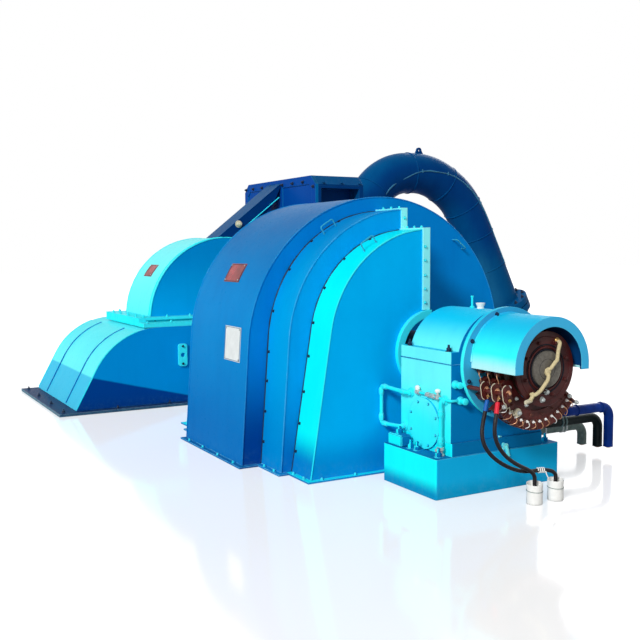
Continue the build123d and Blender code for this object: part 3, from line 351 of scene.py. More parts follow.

# %% [markdown]
# Two places need painted shade that no direction can tell apart. The inside of the slip-ring hood is painted dark as
# shade: it lies nearer to the hood's middle line than the outside does. The upright front of the base block's upper
# step stands in the pedestal's shade, which is painted too. The paint's colour is already joined, so a last blend goes
# in between with a mask made from the place.


# %% Painted shade on the hood and on the base block
def lay_over(material, colour, make_mask):
    """Blends a colour over a paint where the mask, made from place and direction, is 1."""
    tree = material.node_tree
    shader = tree.nodes["Principled BSDF"]
    painted = shader.inputs["Base Color"].links[0].from_socket
    place = add_node(tree, "ShaderNodeTexCoord")
    spot = add_node(tree, "ShaderNodeSeparateXYZ")
    join(tree, place.outputs["Object"], spot.inputs["Vector"])
    facing = add_node(tree, "ShaderNodeSeparateXYZ")
    join(tree, place.outputs["Normal"], facing.inputs["Vector"])
    mask = make_mask(tree, spot.outputs, facing.outputs)
    join(tree, blend(tree, mask, painted, colour), shader.inputs["Base Color"])


HOOD_MIDDLE_Z = 0.978
HOOD_INNER_R = 0.319
HOOD_FRONT_Y = -2.729
UPPER_STEP_Z = 0.292


def shaded_hood_inside(tree, spot, facing):
    rise = sum_node(tree, "SUBTRACT", spot["Z"], HOOD_MIDDLE_Z)
    squares = sum_node(tree, "ADD", sum_node(tree, "POWER", rise, 2.0), sum_node(tree, "POWER", spot["X"], 2.0))
    within = sum_node(tree, "LESS_THAN", squares, (HOOD_INNER_R + 0.001) ** 2)
    behind_rim = sum_node(tree, "GREATER_THAN", spot["Y"], HOOD_FRONT_Y + 0.001)
    return sum_node(tree, "MULTIPLY", within, behind_rim)


def shaded_step_front(tree, spot, facing):
    above = sum_node(tree, "GREATER_THAN", spot["Z"], UPPER_STEP_Z)
    ahead = sum_node(tree, "LESS_THAN", facing["Y"], -0.7)
    return sum_node(tree, "MULTIPLY", above, ahead)


# Painted shade: dark blue inside the hood and on the front of the base block's upper step.
lay_over(hood_paint, srgb(8, 62, 116), shaded_hood_inside)
lay_over(base_paint, srgb(4, 118, 178), shaded_step_front)
print("darker places laid over")

# %% [markdown]
# The part's slots name one azure for the whole set. Here the nodes are shared out among the paints above, which are
# lighter and darker copies of that azure: the darker copies on the main and large covers are painted shade, and the
# bright cyan copies on the small covers, the bearings, the base blocks, the hood and the casing are painted light.

# %% Give every painted CAD node its paint
PAINTED = {
    main_paint: ("main_cover",),
    large_paint: ("front_large_cover", "rear_large_cover"),
    small_paint: ("front_small_cover", "rear_small_cover"),
    strip_paint: ("front_split_flange", "rear_split_flange"),
    flange_paint: ("front_shaft_ring", "rear_shaft_ring", "side_bracket", "hood_flange", "oil_pipe_loop",
                   "oil_drain_pipe", "cap_fittings"),
    bearing_paint: ("front_pedestal", "front_bearing_cap", "inspection_cover", "rear_pedestal",
                    "rear_bearing_cap"),
    base_paint: ("front_base_block", "rear_base_block"),
    disc_paint: ("bearing_end_disc",),
    hood_paint: ("slip_ring_hood",),
    casing_paint: ("lower_casing",),
    crown_paint: ("runner_hood",),
    plate_paint: ("turbine_base_plate",),
    side_plate_paint: ("nozzle_side_plate",),
    inlet_paint: ("nozzle_box", "nozzle_box_lid", "nozzle_duct", "inlet_elbow", "inlet_leg", "inlet_flange",
                  "pipe_lug"),
}


def dress(node_name, material):
    """Gives a CAD node's object one material."""
    slots = nodes[node_name].data.materials
    slots.clear()
    slots.append(material)


for paint, names in PAINTED.items():
    for name in names:
        dress(name, paint)
print("painted", sum(len(names) for names in PAINTED.values()))


# %% [markdown]
# Bare and insulated parts: the turned shaft, the maroon enamel of the brush gear, rubber, sleeves
# and cotton tape. One helper gives them a mottled colour, a changing roughness and a fine bump, and
# an option stretches the noise into the rings that a lathe leaves.


# %% Simple finishes
def make_plain(name, colour, roughness, metallic=0.0, mottle=0.25, scale=60.0, bump_height=0.0004, stretch=None,
               rim=0.0, rim_colour=(230, 210, 180), specular=0.3):
    material, tree, shader = new_material(name)
    place = add_node(tree, "ShaderNodeTexCoord")
    noise = add_node(tree, "ShaderNodeTexNoise", {"Scale": scale, "Detail": 5.0, "Roughness": 0.6})
    if stretch:
        squeeze = add_node(tree, "ShaderNodeMapping", {"Scale": stretch})
        join(tree, place.outputs["Object"], squeeze.inputs["Vector"])
        join(tree, squeeze.outputs["Vector"], noise.inputs["Vector"])
    else:
        join(tree, place.outputs["Object"], noise.inputs["Vector"])
    dark = (*(part * (1 - mottle) for part in colour[:3]), 1.0)
    spread = remap(tree, noise.outputs["Fac"], 0.3, 0.7)
    tone = blend(tree, spread, colour, dark)
    edge = add_node(tree, "ShaderNodeGroup", {"Width": 0.003, "Amount": rim}, node_tree=edge_group)
    join(tree, blend(tree, edge.outputs["Mask"], tone, srgb(*rim_colour)), shader.inputs["Base Color"])
    join(tree, remap(tree, noise.outputs["Fac"], 0.3, 0.7, roughness - 0.08, roughness + 0.12),
         shader.inputs["Roughness"])
    bump = add_node(tree, "ShaderNodeBump", {"Strength": 0.4, "Distance": bump_height})
    join(tree, noise.outputs["Fac"], bump.inputs["Height"])
    join(tree, edge.outputs["Normal"], bump.inputs["Normal"])
    join(tree, bump.outputs["Normal"], shader.inputs["Normal"])
    shader.inputs["Metallic"].default_value = metallic
    shader.inputs["Specular IOR Level"].default_value = specular
    return material


shaft_steel = make_plain("turned_shaft_steel", srgb(120, 116, 108), 0.45, metallic=0.35, mottle=0.4)
maroon_enamel = make_plain("maroon_enamel", srgb(96, 34, 30), 0.35, mottle=0.6, scale=30.0, rim=0.35,
                           rim_colour=(214, 176, 150))
hub_maroon = make_plain("hub_maroon", srgb(76, 22, 22), 0.4, mottle=0.7, scale=7.0, rim=0.2,
                        rim_colour=(150, 96, 84))
ring_steel = make_plain("slip_ring_steel", srgb(120, 98, 84), 0.35, metallic=0.6, mottle=0.5,
                        stretch=(1.0, 14.0, 1.0), scale=12.0)
cream_tape = make_plain("cream_cotton_tape", srgb(222, 206, 160), 0.8, scale=90.0, mottle=0.3,
                        bump_height=0.002)
navy_sleeve = make_plain("navy_sleeve", srgb(4, 56, 150), 0.4, mottle=0.45, scale=14.0, specular=0.1)
black_rubber = make_plain("black_rubber", srgb(26, 22, 28), 0.5, mottle=0.5)
black_sleeve = make_plain("black_sleeve", srgb(10, 28, 28), 0.45, mottle=0.5, specular=0.2)
grey_sleeve = make_plain("grey_sleeve", srgb(136, 156, 150), 0.5, mottle=0.4, scale=30.0, specular=0.2)
handle_paint = make_plain("handle_paint", srgb(60, 186, 222), 0.4, mottle=0.4, specular=0.1)
weld_bead = make_plain("weld_bead", srgb(52, 128, 168), 0.5, mottle=0.5, scale=24.0)
white_wrap = make_plain("white_wrap", srgb(248, 248, 244), 0.75, mottle=0.1, scale=40.0)
zinc_steel = make_plain("zinc_bolt_steel", srgb(208, 216, 214), 0.4, metallic=0.3, mottle=0.5, scale=80.0)
dark_steel = make_plain("dark_bolt_steel", srgb(18, 44, 78), 0.5, mottle=0.5, scale=80.0)
brass = make_plain("brass_fitting", srgb(196, 158, 96), 0.35, metallic=0.6, mottle=0.4)
copper = make_plain("copper_stud", srgb(226, 168, 128), 0.35, metallic=0.5, mottle=0.4)
blue_tube = make_plain("blue_marker_sleeve", srgb(14, 98, 186), 0.4)
red_tube = make_plain("red_marker_sleeve", srgb(236, 40, 62), 0.4)
pale_cream = make_plain("pale_insulator", srgb(222, 214, 186), 0.5, mottle=0.2)
# A near-black used as painted shade in grooves.
painted_groove_shade = make_plain("painted_groove_shade", srgb(8, 16, 30), 0.8, mottle=0.3)
SIMPLE = {
    "cover_handles": handle_paint,
    "shaft": shaft_steel, "slip_ring_hub": hub_maroon, "slip_rings": ring_steel, "field_leads": cream_tape,
    "brush_yoke": maroon_enamel, "brush_holders": maroon_enamel, "terminal_plates": maroon_enamel,
    "output_lead_outer": navy_sleeve, "output_lead_middle": black_sleeve, "output_lead_inner": grey_sleeve,
}
for name, material in SIMPLE.items():
    dress(name, material)
print("simple finishes", len(SIMPLE))

# %% [markdown]
# The two brush cables are free cords. Each one repeats the route of its CAD tube as the control
# points of a smooth NURBS curve, with the cable's real thickness. The order is set last, because
# Blender falls back to straight runs if it is set before the points are in.

# %% Brush cables
CABLE_R = 0.014
CABLE_ONE = (
    (-0.336, -2.452, 0.7326), (-0.367, -2.470, 0.663), (-0.402, -2.488, 0.594), (-0.428, -2.506, 0.520),
    (-0.422, -2.522, 0.444), (-0.380, -2.536, 0.378), (-0.314, -2.550, 0.320), (-0.238, -2.560, 0.275),
    (-0.150, -2.566, 0.240), (-0.055, -2.568, 0.222), (0.050, -2.574, 0.224), (0.126, -2.588, 0.214),
    (0.166, -2.600, 0.188), (0.166, -2.600, 0.152), (0.166, -2.600, 0.100),
)
CABLE_TWO = (
    (-0.338, -2.562, 0.733), (-0.364, -2.583, 0.670), (-0.390, -2.598, 0.607), (-0.398, -2.601, 0.542),
    (-0.382, -2.603, 0.476), (-0.340, -2.604, 0.409), (-0.275, -2.604, 0.347), (-0.190, -2.604, 0.293),
    (-0.105, -2.604, 0.254), (-0.052, -2.602, 0.222), (-0.030, -2.600, 0.190), (-0.030, -2.600, 0.152),
    (-0.030, -2.600, 0.100),
)


def make_cable(name, route):
    """A smooth tube of cable through the route's control points."""
    curve = bpy.data.curves.new(name, "CURVE")
    curve.dimensions = "3D"
    spline = curve.splines.new("NURBS")
    spline.points.add(len(route) - 1)
    for point, place in zip(spline.points, route):
        point.co = (*place, 1.0)
    spline.order_u = 3
    spline.use_endpoint_u = True
    spline.resolution_u = 12
    cable = bpy.data.objects.new(name, curve)
    bpy.context.scene.collection.objects.link(cable)
    return cable


def line_of(cable):
    """Points along a cable's smooth line, read before it gets its thickness."""
    mesh = bpy.data.meshes.new_from_object(cable)
    places = [vertex.co.copy() for vertex in mesh.vertices]
    bpy.data.meshes.remove(mesh)
    return places


def thicken(cable, material):
    cable.data.bevel_depth = CABLE_R
    cable.data.bevel_resolution = 6
    cable.data.use_fill_caps = True
    cable.data.materials.append(material)


cable_one = make_cable("cable_one", CABLE_ONE)
cable_two = make_cable("cable_two", CABLE_TWO)
line_one = line_of(cable_one)
line_two = line_of(cable_two)
for cable in (cable_one, cable_two):
    thicken(cable, black_rubber)
print("points along the cables", len(line_one), len(line_two))

# %% [markdown]
# Small hardware is what tells a viewer how big a machine is, so bolts are modelled, not painted.
# One helper builds a bolt as a real one looks: a washer, a six-sided head with its corners turned
# down, and the end of the thread. It takes a place and a direction, and many bolts share one mesh.


# %% Bolts
def frame_at(place, outward, turn=0.0):
    """A matrix that stands something on a surface, with its Z along the outward direction."""
    spin = Matrix.Rotation(math.radians(turn), 4, "Z")
    return Matrix.Translation(place) @ Vector(outward).to_track_quat("Z", "Y").to_matrix().to_4x4() @ spin


def add_cone(mesh, where, sides, radius, top_radius, start, height):
    """A prism or cone that starts a distance out along the frame's Z."""
    lift = Matrix.Translation((0, 0, start + height / 2))
    bmesh.ops.create_cone(mesh, cap_ends=True, segments=sides, radius1=radius, radius2=top_radius,
                          depth=height, matrix=where @ lift)


def add_bolt(mesh, where, radius, thread=0.35):
    """A washer, a chamfered six-sided head and the end of the thread."""
    washer = 0.22 * radius
    head = 1.15 * radius
    add_cone(mesh, where, 20, 1.35 * radius, 1.3 * radius, -0.05 * radius, washer)
    add_cone(mesh, where, 6, radius, radius, washer - 0.05 * radius, 0.8 * head)
    add_cone(mesh, where, 6, radius, 0.84 * radius, washer + 0.75 * head, 0.25 * head)
    if thread:
        add_cone(mesh, where, 12, 0.5 * radius, 0.42 * radius, washer + head, thread * radius)


def keep_piece(name, mesh, material, body="root", smooth_angle=30):
    """Turns a bmesh into a scene piece that rides on a body."""
    data = bpy.data.meshes.new(name)
    bmesh.ops.recalc_face_normals(mesh, faces=mesh.faces)
    mesh.to_mesh(data)
    mesh.free()
    data.materials.append(material)
    piece = bpy.data.objects.new(name, data)
    bpy.context.scene.collection.objects.link(piece)
    if smooth_angle:
        data.shade_smooth()
        data.set_sharp_from_angle(angle=math.radians(smooth_angle))
    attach(piece, body)
    return piece


def bolt_group(name, places, radius, material=zinc_steel, body="root", thread=0.35):
    """Many bolts of one size in one mesh; each place is a point and an outward direction."""
    chance = random.Random(name)
    mesh = bmesh.new()
    for place, outward in places:
        add_bolt(mesh, frame_at(place, outward, chance.uniform(0, 60)), radius, thread)
    return keep_piece(name, mesh, material, body)


print("bolt helper ready")

# %% [markdown]
# Welds and folded rims are thin rounded lines. A curve with a round bevel makes one in three lines of
# code, and a little chance in each point's radius makes it look laid by hand.


# %% Beads and wires
def make_wire(name, points, radius, material, body="root", unevenness=0.0, closed=False, kind="POLY"):
    """A round wire or bead through the given points."""
    chance = random.Random(name)
    curve = bpy.data.curves.new(name, "CURVE")
    curve.dimensions = "3D"
    curve.bevel_depth = radius
    curve.bevel_resolution = 3
    curve.use_fill_caps = True
    spline = curve.splines.new(kind)
    spline.points.add(len(points) - 1)
    for point, place in zip(spline.points, points):
        point.co = (*place, 1.0)
        point.radius = 1.0 + chance.uniform(-unevenness, unevenness)
    spline.use_cyclic_u = closed
    if kind == "NURBS":
        spline.order_u = 3
        spline.use_endpoint_u = True
        spline.resolution_u = 10
    curve.materials.append(material)
    wire = bpy.data.objects.new(name, curve)
    bpy.context.scene.collection.objects.link(wire)
    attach(wire, body)
    return wire


# %% [markdown]
# Every arched cover is a crown arc with two straight legs that touch it and splay out to the floor.
# The same few lines give a point anywhere along that outline, with the direction straight out of
# the sheet, so a rim, a plate or a bolt can be set on it by its height or its angle.


# %% Outline of an arched cover
class Arch:
    """The outline of a cover: half width at the floor, and the crown's radius and height."""

    def __init__(self, half_width, radius, centre_z):
        self.half_width = half_width
        self.radius = radius
        self.centre_z = centre_z
        reach = math.hypot(half_width, centre_z)
        leg_angle = math.atan2(-centre_z, -half_width) + 2 * math.pi
        self.touch = math.degrees(leg_angle - math.acos(radius / reach))

    def on_crown(self, angle, y, lift=0.0):
        """Point and outward direction on the crown at an angle from +X."""
        out = Vector((math.cos(math.radians(angle)), 0, math.sin(math.radians(angle))))
        return Vector((0, y, self.centre_z)) + out * (self.radius + lift), out

    def on_leg(self, z, y, lift=0.0):
        """Point and outward direction on the left leg at a height."""
        top, out = self.on_crown(self.touch, y)
        share = z / top.z
        foot = Vector((-self.half_width, y, 0))
        return foot.lerp(top, share) + out * lift, out

    def outline(self, y, first=None, last=90, step=3.0, low=0.016, lift=0.0):
        """Points from the left foot up the leg and over the crown to an angle."""
        points = [self.on_leg(low, y, lift)[0], self.on_crown(self.touch, y, lift)[0]]
        count = int((self.touch - last) / step)
        for index in range(1, count + 1):
            angle = self.touch + (last - self.touch) * index / count
            points.append(self.on_crown(angle, y, lift)[0])
        return points


MAIN = Arch(1.365, 1.300, 0.922)
LARGE = Arch(1.195, 1.118, 0.982)
SMALL = Arch(1.105, 0.930, 1.000)
MAIN_Y = 0.630
LARGE_Y = 1.000
SMALL_Y = 1.320
print("legs meet crowns at", [round(arch.touch, 1) for arch in (MAIN, LARGE, SMALL)])

# %% [markdown]
# Where a cover's curved sheet meets its flat wall, the two are welded and ground into a rounded rim. The rim's paler
# look is worn paint and a painted highlight of the light that the corner catches, together. Where a smaller cover
# stands against a larger one's wall, a dark line laid in the corner is painted shade. Both ends of the set are built
# alike, so each loop runs twice.


# %% Rims with painted highlight and corner lines of painted shade
def mirrored_x(points):
    return [Vector((-p.x, p.y, p.z)) for p in reversed(points)]


for end, label in ((-1, "front"), (1, "rear")):
    left = MAIN.outline(end * MAIN_Y, last=90)
    # The rims look paler through worn paint and a painted highlight.
    make_wire(f"main_rim_{label}", left + mirrored_x(left)[1:], 0.006, main_paint, unevenness=0.15)
    make_wire(f"large_rim_{label}", LARGE.outline(end * LARGE_Y, last=94), 0.006, large_paint,
              unevenness=0.15)
    make_wire(f"small_rim_{label}", SMALL.outline(end * SMALL_Y, last=95), 0.006, flange_paint,
              unevenness=0.15)
    # The dark lines in the corners are painted shade.
    make_wire(f"large_sealant_{label}", LARGE.outline(end * (MAIN_Y + 0.003), last=94), 0.007, dark_steel,
              unevenness=0.3)
    make_wire(f"small_sealant_{label}", SMALL.outline(end * (LARGE_Y + 0.003), last=95), 0.006, dark_steel,
              unevenness=0.3)
print("rims laid")

# %% [markdown]
# The half covers are bolted to the walls behind them, to their lips on the floor, and to each other
# along the split. The spacing follows the photograph, where the heads show as small dark dots.

# %% Cover bolts
DOT_R = 0.010
LIP_R = 0.011
LIP_TOP = 0.014
for end, label in ((-1, "front"), (1, "rear")):
    leg_bolts = [LARGE.on_leg(z, end * (MAIN_Y + 0.030)) for z in (0.20, 0.45, 0.70, 0.94)]
    leg_bolts += [LARGE.on_crown(angle, end * (MAIN_Y + 0.030)) for angle in (165, 146, 130, 114)]
    leg_bolts += [SMALL.on_leg(z, end * (LARGE_Y + 0.028)) for z in (0.18, 0.40, 0.65, 0.93)]
    leg_bolts += [SMALL.on_crown(angle, end * (LARGE_Y + 0.028)) for angle in (168, 150, 132, 114)]
    bolt_group(f"cover_joint_bolts_{label}", leg_bolts, DOT_R, dark_steel, thread=0)
    split = [((-0.050, end * 1.334, z), (0, end, 0)) for z in (1.34, 1.45, 1.56, 1.68, 1.79)]
    split += [((-0.034, end * y, 2.114), (0, 0, 1)) for y in (0.70, 0.82, 0.94)]
    split += [((-0.034, end * y, 1.944), (0, 0, 1)) for y in (1.06, 1.16, 1.26)]
    split += [((-0.030, end * 1.014, 2.03), (0, end, 0))]
    bolt_group(f"split_flange_bolts_{label}", split, 0.010, flange_paint, thread=0.4)
    lip = [((-x, end * 1.343, LIP_TOP), (0, 0, 1)) for x in (0.12, 0.42, 0.72, 1.02)]
    lip += [((-1.128, end * y, LIP_TOP), (0, 0, 1)) for y in (1.08, 1.25)]
    lip += [((-1.218, end * y, LIP_TOP), (0, 0, 1)) for y in (0.74, 0.92)]
    bolt_group(f"lip_bolts_{label}", lip, LIP_R, flange_paint)
main_lip = [((side * 1.388, y, LIP_TOP), (0, 0, 1)) for side in (-1, 1) for y in (-0.5, -0.17, 0.17, 0.5)]
bolt_group("main_lip_bolts", main_lip, LIP_R, flange_paint)
print("cover bolts placed")

# %% [markdown]
# Three plates are screwed to the sheet: two small dark red ones, on the main cover's shoulder and on
# the runner hood's crown, and a white one on the main cover's leg. All three are left bare. A plate
# follows the sheet's curve, so it is built as a strip of short flat steps with a raised edge.


# %% Bare plates
def curved_plate(name, place_at, width, length, centre_y, thickness, material, rim_material):
    """A plate bent to the sheet; place_at gives point and direction at a distance up the sheet."""
    steps = 10
    mesh = bmesh.new()
    rows = []
    for index in range(steps + 1):
        point, out = place_at((index / steps - 0.5) * length)
        row = []
        for y in (-width / 2, width / 2):
            low = mesh.verts.new((point.x, centre_y + y, point.z))
            high = mesh.verts.new((point.x + out.x * thickness, centre_y + y, point.z + out.z * thickness))
            row += [low, high]
        rows.append(row)
    for first, second in zip(rows, rows[1:]):
        mesh.faces.new((first[1], first[3], second[3], second[1]))
        mesh.faces.new((first[0], second[0], second[2], first[2]))
        mesh.faces.new((first[0], first[1], second[1], second[0]))
        mesh.faces.new((first[2], second[2], second[3], first[3]))
    for row in (rows[0], rows[-1]):
        mesh.faces.new((row[0], row[2], row[3], row[1]))
    keep_piece(name, mesh, material)
    border = []
    inset = 0.008
    for index in range(steps + 1):
        point, out = place_at((index / steps - 0.5) * (length - 2 * inset))
        border.append(Vector((point.x, centre_y - width / 2 + inset, point.z)) + out * thickness)
    far = [Vector((p.x, p.y + width - 2 * inset, p.z)) for p in reversed(border)]
    make_wire(f"{name}_border", border + far, 0.0035, rim_material, closed=True)
    screws = []
    for y in (-1, 1):
        for end in (-1, 1):
            point, out = place_at(end * (length / 2 - 0.02))
            spot = Vector((point.x, centre_y + y * (width / 2 - 0.02), point.z)) + out * thickness
            screws.append((spot, out))
    bolt_group(f"{name}_screws", screws, 0.006, zinc_steel, thread=0)


red_plate = make_plain("bare_red_plate", srgb(176, 44, 52), 0.3, mottle=0.75, scale=9.0, rim=0.5,
                       rim_colour=(96, 30, 30), specular=0.5)
plate_border = make_plain("plate_border", srgb(88, 40, 44), 0.4, mottle=0.3)
white_plate = make_plain("bare_white_plate", srgb(236, 242, 242), 0.4, mottle=0.12, scale=12.0)
grey_border = make_plain("grey_border", srgb(96, 132, 160), 0.45)


def shoulder(distance):
    return MAIN.on_crown(150.0 - math.degrees(distance / MAIN.radius), 0)


def main_leg(distance):
    return MAIN.on_leg(0.985 + distance, 0)


HOOD = Arch(0.975, 0.974, 0.945)


def hood_crown(distance):
    return HOOD.on_crown(143.5 - math.degrees(distance / HOOD.radius), 0)


curved_plate("shoulder_plate", shoulder, 0.31, 0.18, -0.006, 0.004, red_plate, plate_border)
curved_plate("leg_plate", main_leg, 0.32, 0.29, -0.32, 0.003, white_plate, grey_border)
curved_plate("hood_plate", hood_crown, 0.27, 0.17, 3.304, 0.004, red_plate, plate_border)
print("plates screwed on")

# %% [markdown]
# The turbine's casing is plated from sheets that are welded along its length: two seams run up the
# tail and over its shoulder, and the runner hood carries a folded lip just behind its front wall.
# Seams are beads laid on the outline that the CAD model gives, worked out again from its sizes.

# %% Turbine seams and flange bolts
CASING_TOP = 0.902
TAIL_R = 0.817
TAIL_LEAN = math.radians(62)
CASING_END = 1.960
leg_top = CASING_TOP - TAIL_R * (1 - math.cos(TAIL_LEAN))
leg_top_x = -CASING_END + leg_top / math.tan(TAIL_LEAN)
tail_centre = (leg_top_x + TAIL_R * math.sin(TAIL_LEAN), CASING_TOP - TAIL_R)


def tail_outline(y, last_x=-1.2, lift=0.0):
    """Points up the casing's leaning tail and round its shoulder to the flat top."""
    foot_z = 0.045
    points = [Vector((-CASING_END + foot_z / math.tan(TAIL_LEAN) - lift, y, foot_z))]
    steps = 14
    for index in range(steps + 1):
        angle = math.pi / 2 + TAIL_LEAN * (1 - index / steps)
        reach = TAIL_R + lift
        points.append(Vector((tail_centre[0] + reach * math.cos(angle), y, tail_centre[1] + reach * math.sin(angle))))
    return [p for p in points if p.x < last_x]


for number, y in enumerate((2.95, 3.93)):
    make_wire(f"tail_seam_{number}", tail_outline(y), 0.010, main_paint, unevenness=0.25)
    far_side = [Vector((-p.x, p.y, p.z)) for p in tail_outline(y)]
    make_wire(f"far_tail_seam_{number}", far_side, 0.010, main_paint, unevenness=0.25)
for number, y in enumerate((2.458, 4.387)):
    make_wire(f"tail_rim_{number}", tail_outline(y), 0.007, flange_paint, unevenness=0.15)
hood_front = 2.795
lip_points = HOOD.outline(hood_front + 0.05, last=92, low=1.01)
make_wire("hood_lip", [p for p in lip_points if p.z > 1.0], 0.011, flange_paint, unevenness=0.1)
rim_points = [p for p in HOOD.outline(hood_front, last=35, low=1.01) if p.z > 1.0]
make_wire("hood_rim", rim_points, 0.007, flange_paint, unevenness=0.15)
back_rim = [p for p in HOOD.outline(3.725, last=35, low=1.01) if p.z > 1.0]
make_wire("hood_back_rim", back_rim, 0.007, flange_paint, unevenness=0.15)
flange_bolts = [((x, 2.655, 1.0), (0, 0, 1)) for x in (-1.10, -0.82, -0.54, -0.26, 0.04, 0.34, 0.64, 0.92)]
flange_bolts += [((x, 2.470, 0.948), (0, 0, 1)) for x in (-1.12, -0.84, -0.56, -0.28, 0.02, 0.32, 0.62, 0.92)]
flange_bolts += [((-1.13, y, 1.0), (0, 0, 1)) for y in (2.85, 3.15, 3.45, 3.75)]
flange_bolts += [((x, 3.925, 1.0), (0, 0, 1)) for x in (-1.0, -0.6, -0.2, 0.2, 0.6)]
bolt_group("hood_flange_bolts", flange_bolts, 0.014, flange_paint, thread=0.8)
slot_studs = [((x, 2.690, 0.959), (0, -1, 0)) for x in (-0.96, -0.78)]
bolt_group("flange_slot_studs", slot_studs, 0.010, dark_steel, thread=0.6)
anchors = [((x, y, 0.030), (0, 0, 1)) for x in (-2.08, 2.08) for y in (2.45, 3.05, 3.70, 4.30)]
anchors += [((x, 2.395, 0.030), (0, 0, 1)) for x in (-1.5, -0.9, -0.3, 0.3, 0.9, 1.5)]
bolt_group("base_plate_anchors", anchors, 0.016, dark_steel, thread=1.0)
bracket_bolts = [((-0.716, 2.431, z), (0, -1, 0)) for z in (0.47, 0.67)]
bolt_group("side_bracket_bolts", bracket_bolts, 0.011, dark_steel)
print("turbine seams and bolts")

# %% [markdown]
# The nozzle box is closed by a bolted side plate. The bolts stand in a row under the plate's top
# edge. The duct that slopes down to the hood has one large nut on its front and a welded edge strip.

# %% Nozzle box, duct and their bolts
SIDE_X = 1.010
row = [((SIDE_X, y, 2.61), (-1, 0, 0)) for y in (2.70, 2.98, 3.27, 3.59, 3.88, 4.16, 4.39)]
row += [((SIDE_X, 2.435, z), (-1, 0, 0)) for z in (2.54, 2.30, 2.05, 1.80)]
row += [((SIDE_X, 4.40, z), (-1, 0, 0)) for z in (2.30, 2.05, 1.80)]
bolt_group("side_plate_bolts", row, 0.017, dark_steel, thread=0.6)
lid_bolts = [((x, y, z), (0, side, 0)) for x in (1.12, 1.38, 1.64) for y, side, z in ((2.385, -1, 2.59), (4.45, 1, 2.59))]
bolt_group("box_lid_bolts", lid_bolts, 0.013, inlet_paint)
DUCT_TOP = (Vector((0.095, 0, 1.917)), Vector((1.010, 0, 2.635)))


def on_duct(share, y, drop):
    """A point on the duct's sloping face, a distance below its top edge."""
    edge = DUCT_TOP[0].lerp(DUCT_TOP[1], share)
    return Vector((edge.x, y, edge.z - drop))


make_wire("duct_band_edge", [on_duct(share, 3.317, 0.162) for share in (0.03, 0.3, 0.6, 0.97)], 0.007,
          flange_paint, unevenness=0.3)
make_wire("duct_top_edge", [on_duct(share, 3.320, 0.004) for share in (0.02, 0.5, 0.98)], 0.006, inlet_paint,
          unevenness=0.2)
bolt_group("duct_nut", [(on_duct(0.33, 3.318, 0.055), (0, -1, 0))], 0.036, pale_cream, thread=0.8)
print("duct pieces")

# %% [markdown]
# The inlet is rolled from plate and welded: a seam crosses the pipe at each change of direction, and a long one runs
# along its near side. The pipe's middle line is the chain of straight runs and arcs of the CAD bend. Here it only
# carries the beads, so straight runs through the same corners are close enough, and each ring is set on the pipe's real
# radius.

# %% Weld seams of the inlet pipe
PIPE_R = 0.289
PIPE_Y = 3.520
PIPE_CORNERS = ((2.357, 2.321), (2.788, 2.845), (3.526, 2.879), (4.046, 2.563), (4.286, 2.214))
PIPE_MOUTH = (5.008, 0.753)


def cross_seam(name, centre, along, radius=PIPE_R, bead=0.009):
    """A ring of weld round the pipe at a point, square to its direction."""
    turn = Vector(along).normalized().to_track_quat("Z", "Y").to_matrix().to_4x4()
    where = Matrix.Translation(centre) @ turn
    ring = [where @ Vector((radius * math.cos(a), radius * math.sin(a), 0))
            for a in (2 * math.pi * k / 40 for k in range(40))]
    make_wire(name, ring, bead, inlet_paint, unevenness=0.25, closed=True)


corners = [Vector((x, PIPE_Y, z)) for x, z in PIPE_CORNERS]
mouth = Vector((PIPE_MOUTH[0], PIPE_Y, PIPE_MOUTH[1]))
runs = list(zip(corners, corners[1:] + [mouth]))
for number, (first, second) in enumerate(runs[:4]):
    cross_seam(f"pipe_seam_{number}", first.lerp(second, 0.5), second - first)
leg = (mouth - corners[-1]).normalized()
cross_seam("pipe_seam_leg_top", corners[-1] + leg * 0.28, leg)
cross_seam("pipe_seam_leg_end", mouth - leg * 0.82, leg)
for offset in (0.205, 0.02):
    cross_seam(f"pipe_flange_weld_{int(1000 * offset)}", mouth - leg * offset, leg, bead=0.008)
JOINT_R = 0.384
joint_frame = Matrix.Translation(mouth) @ leg.to_track_quat("Z", "Y").to_matrix().to_4x4()
joint_bolts = []
for k in range(12):
    angle = math.radians(30 * k)
    for depth, side in ((0.001, 1), (-0.201, -1)):
        place = joint_frame @ Vector((JOINT_R * math.cos(angle), JOINT_R * math.sin(angle), depth))
        joint_bolts.append((place, leg * side))
bolt_group("pipe_joint_bolts", joint_bolts, 0.021, dark_steel, thread=0.8)
print("pipe seams", len(runs) + 3)

# %% [markdown]
# The long seam shows as a pale, ragged bead along the pipe's near side. Its points are read off the
# photograph on a plane just behind the pipe's front, and each one is then pushed out from the
# pipe's middle line to the real radius, so the bead lies on the surface.

# %% The long weld along the near side
SEAM_Y = 3.30
SEAM_PLACES = ((2.598, 2.536), (2.650, 2.606), (2.715, 2.664), (2.810, 2.722), (2.919, 2.772), (3.108, 2.842),
               (3.230, 2.868), (3.360, 2.878), (3.550, 2.864), (3.680, 2.838), (3.804, 2.798), (3.930, 2.742),
               (4.046, 2.668), (4.130, 2.602), (4.215, 2.522), (4.294, 2.432), (4.400, 2.290), (4.489, 2.140),
               (4.689, 1.789), (4.805, 1.540))


def on_pipe(x, z):
    """The point of the pipe's surface that is nearest to a place on the seam's plane."""
    place = Vector((x, SEAM_Y, z))
    nearest = None
    for first, last in runs:
        run = last - first
        share = max(0.0, min(1.0, (place - first).dot(run) / run.length_squared))
        foot = first + run * share
        if nearest is None or (place - foot).length < (place - nearest).length:
            nearest = foot
    return nearest + (place - nearest).normalized() * (PIPE_R + 0.001)


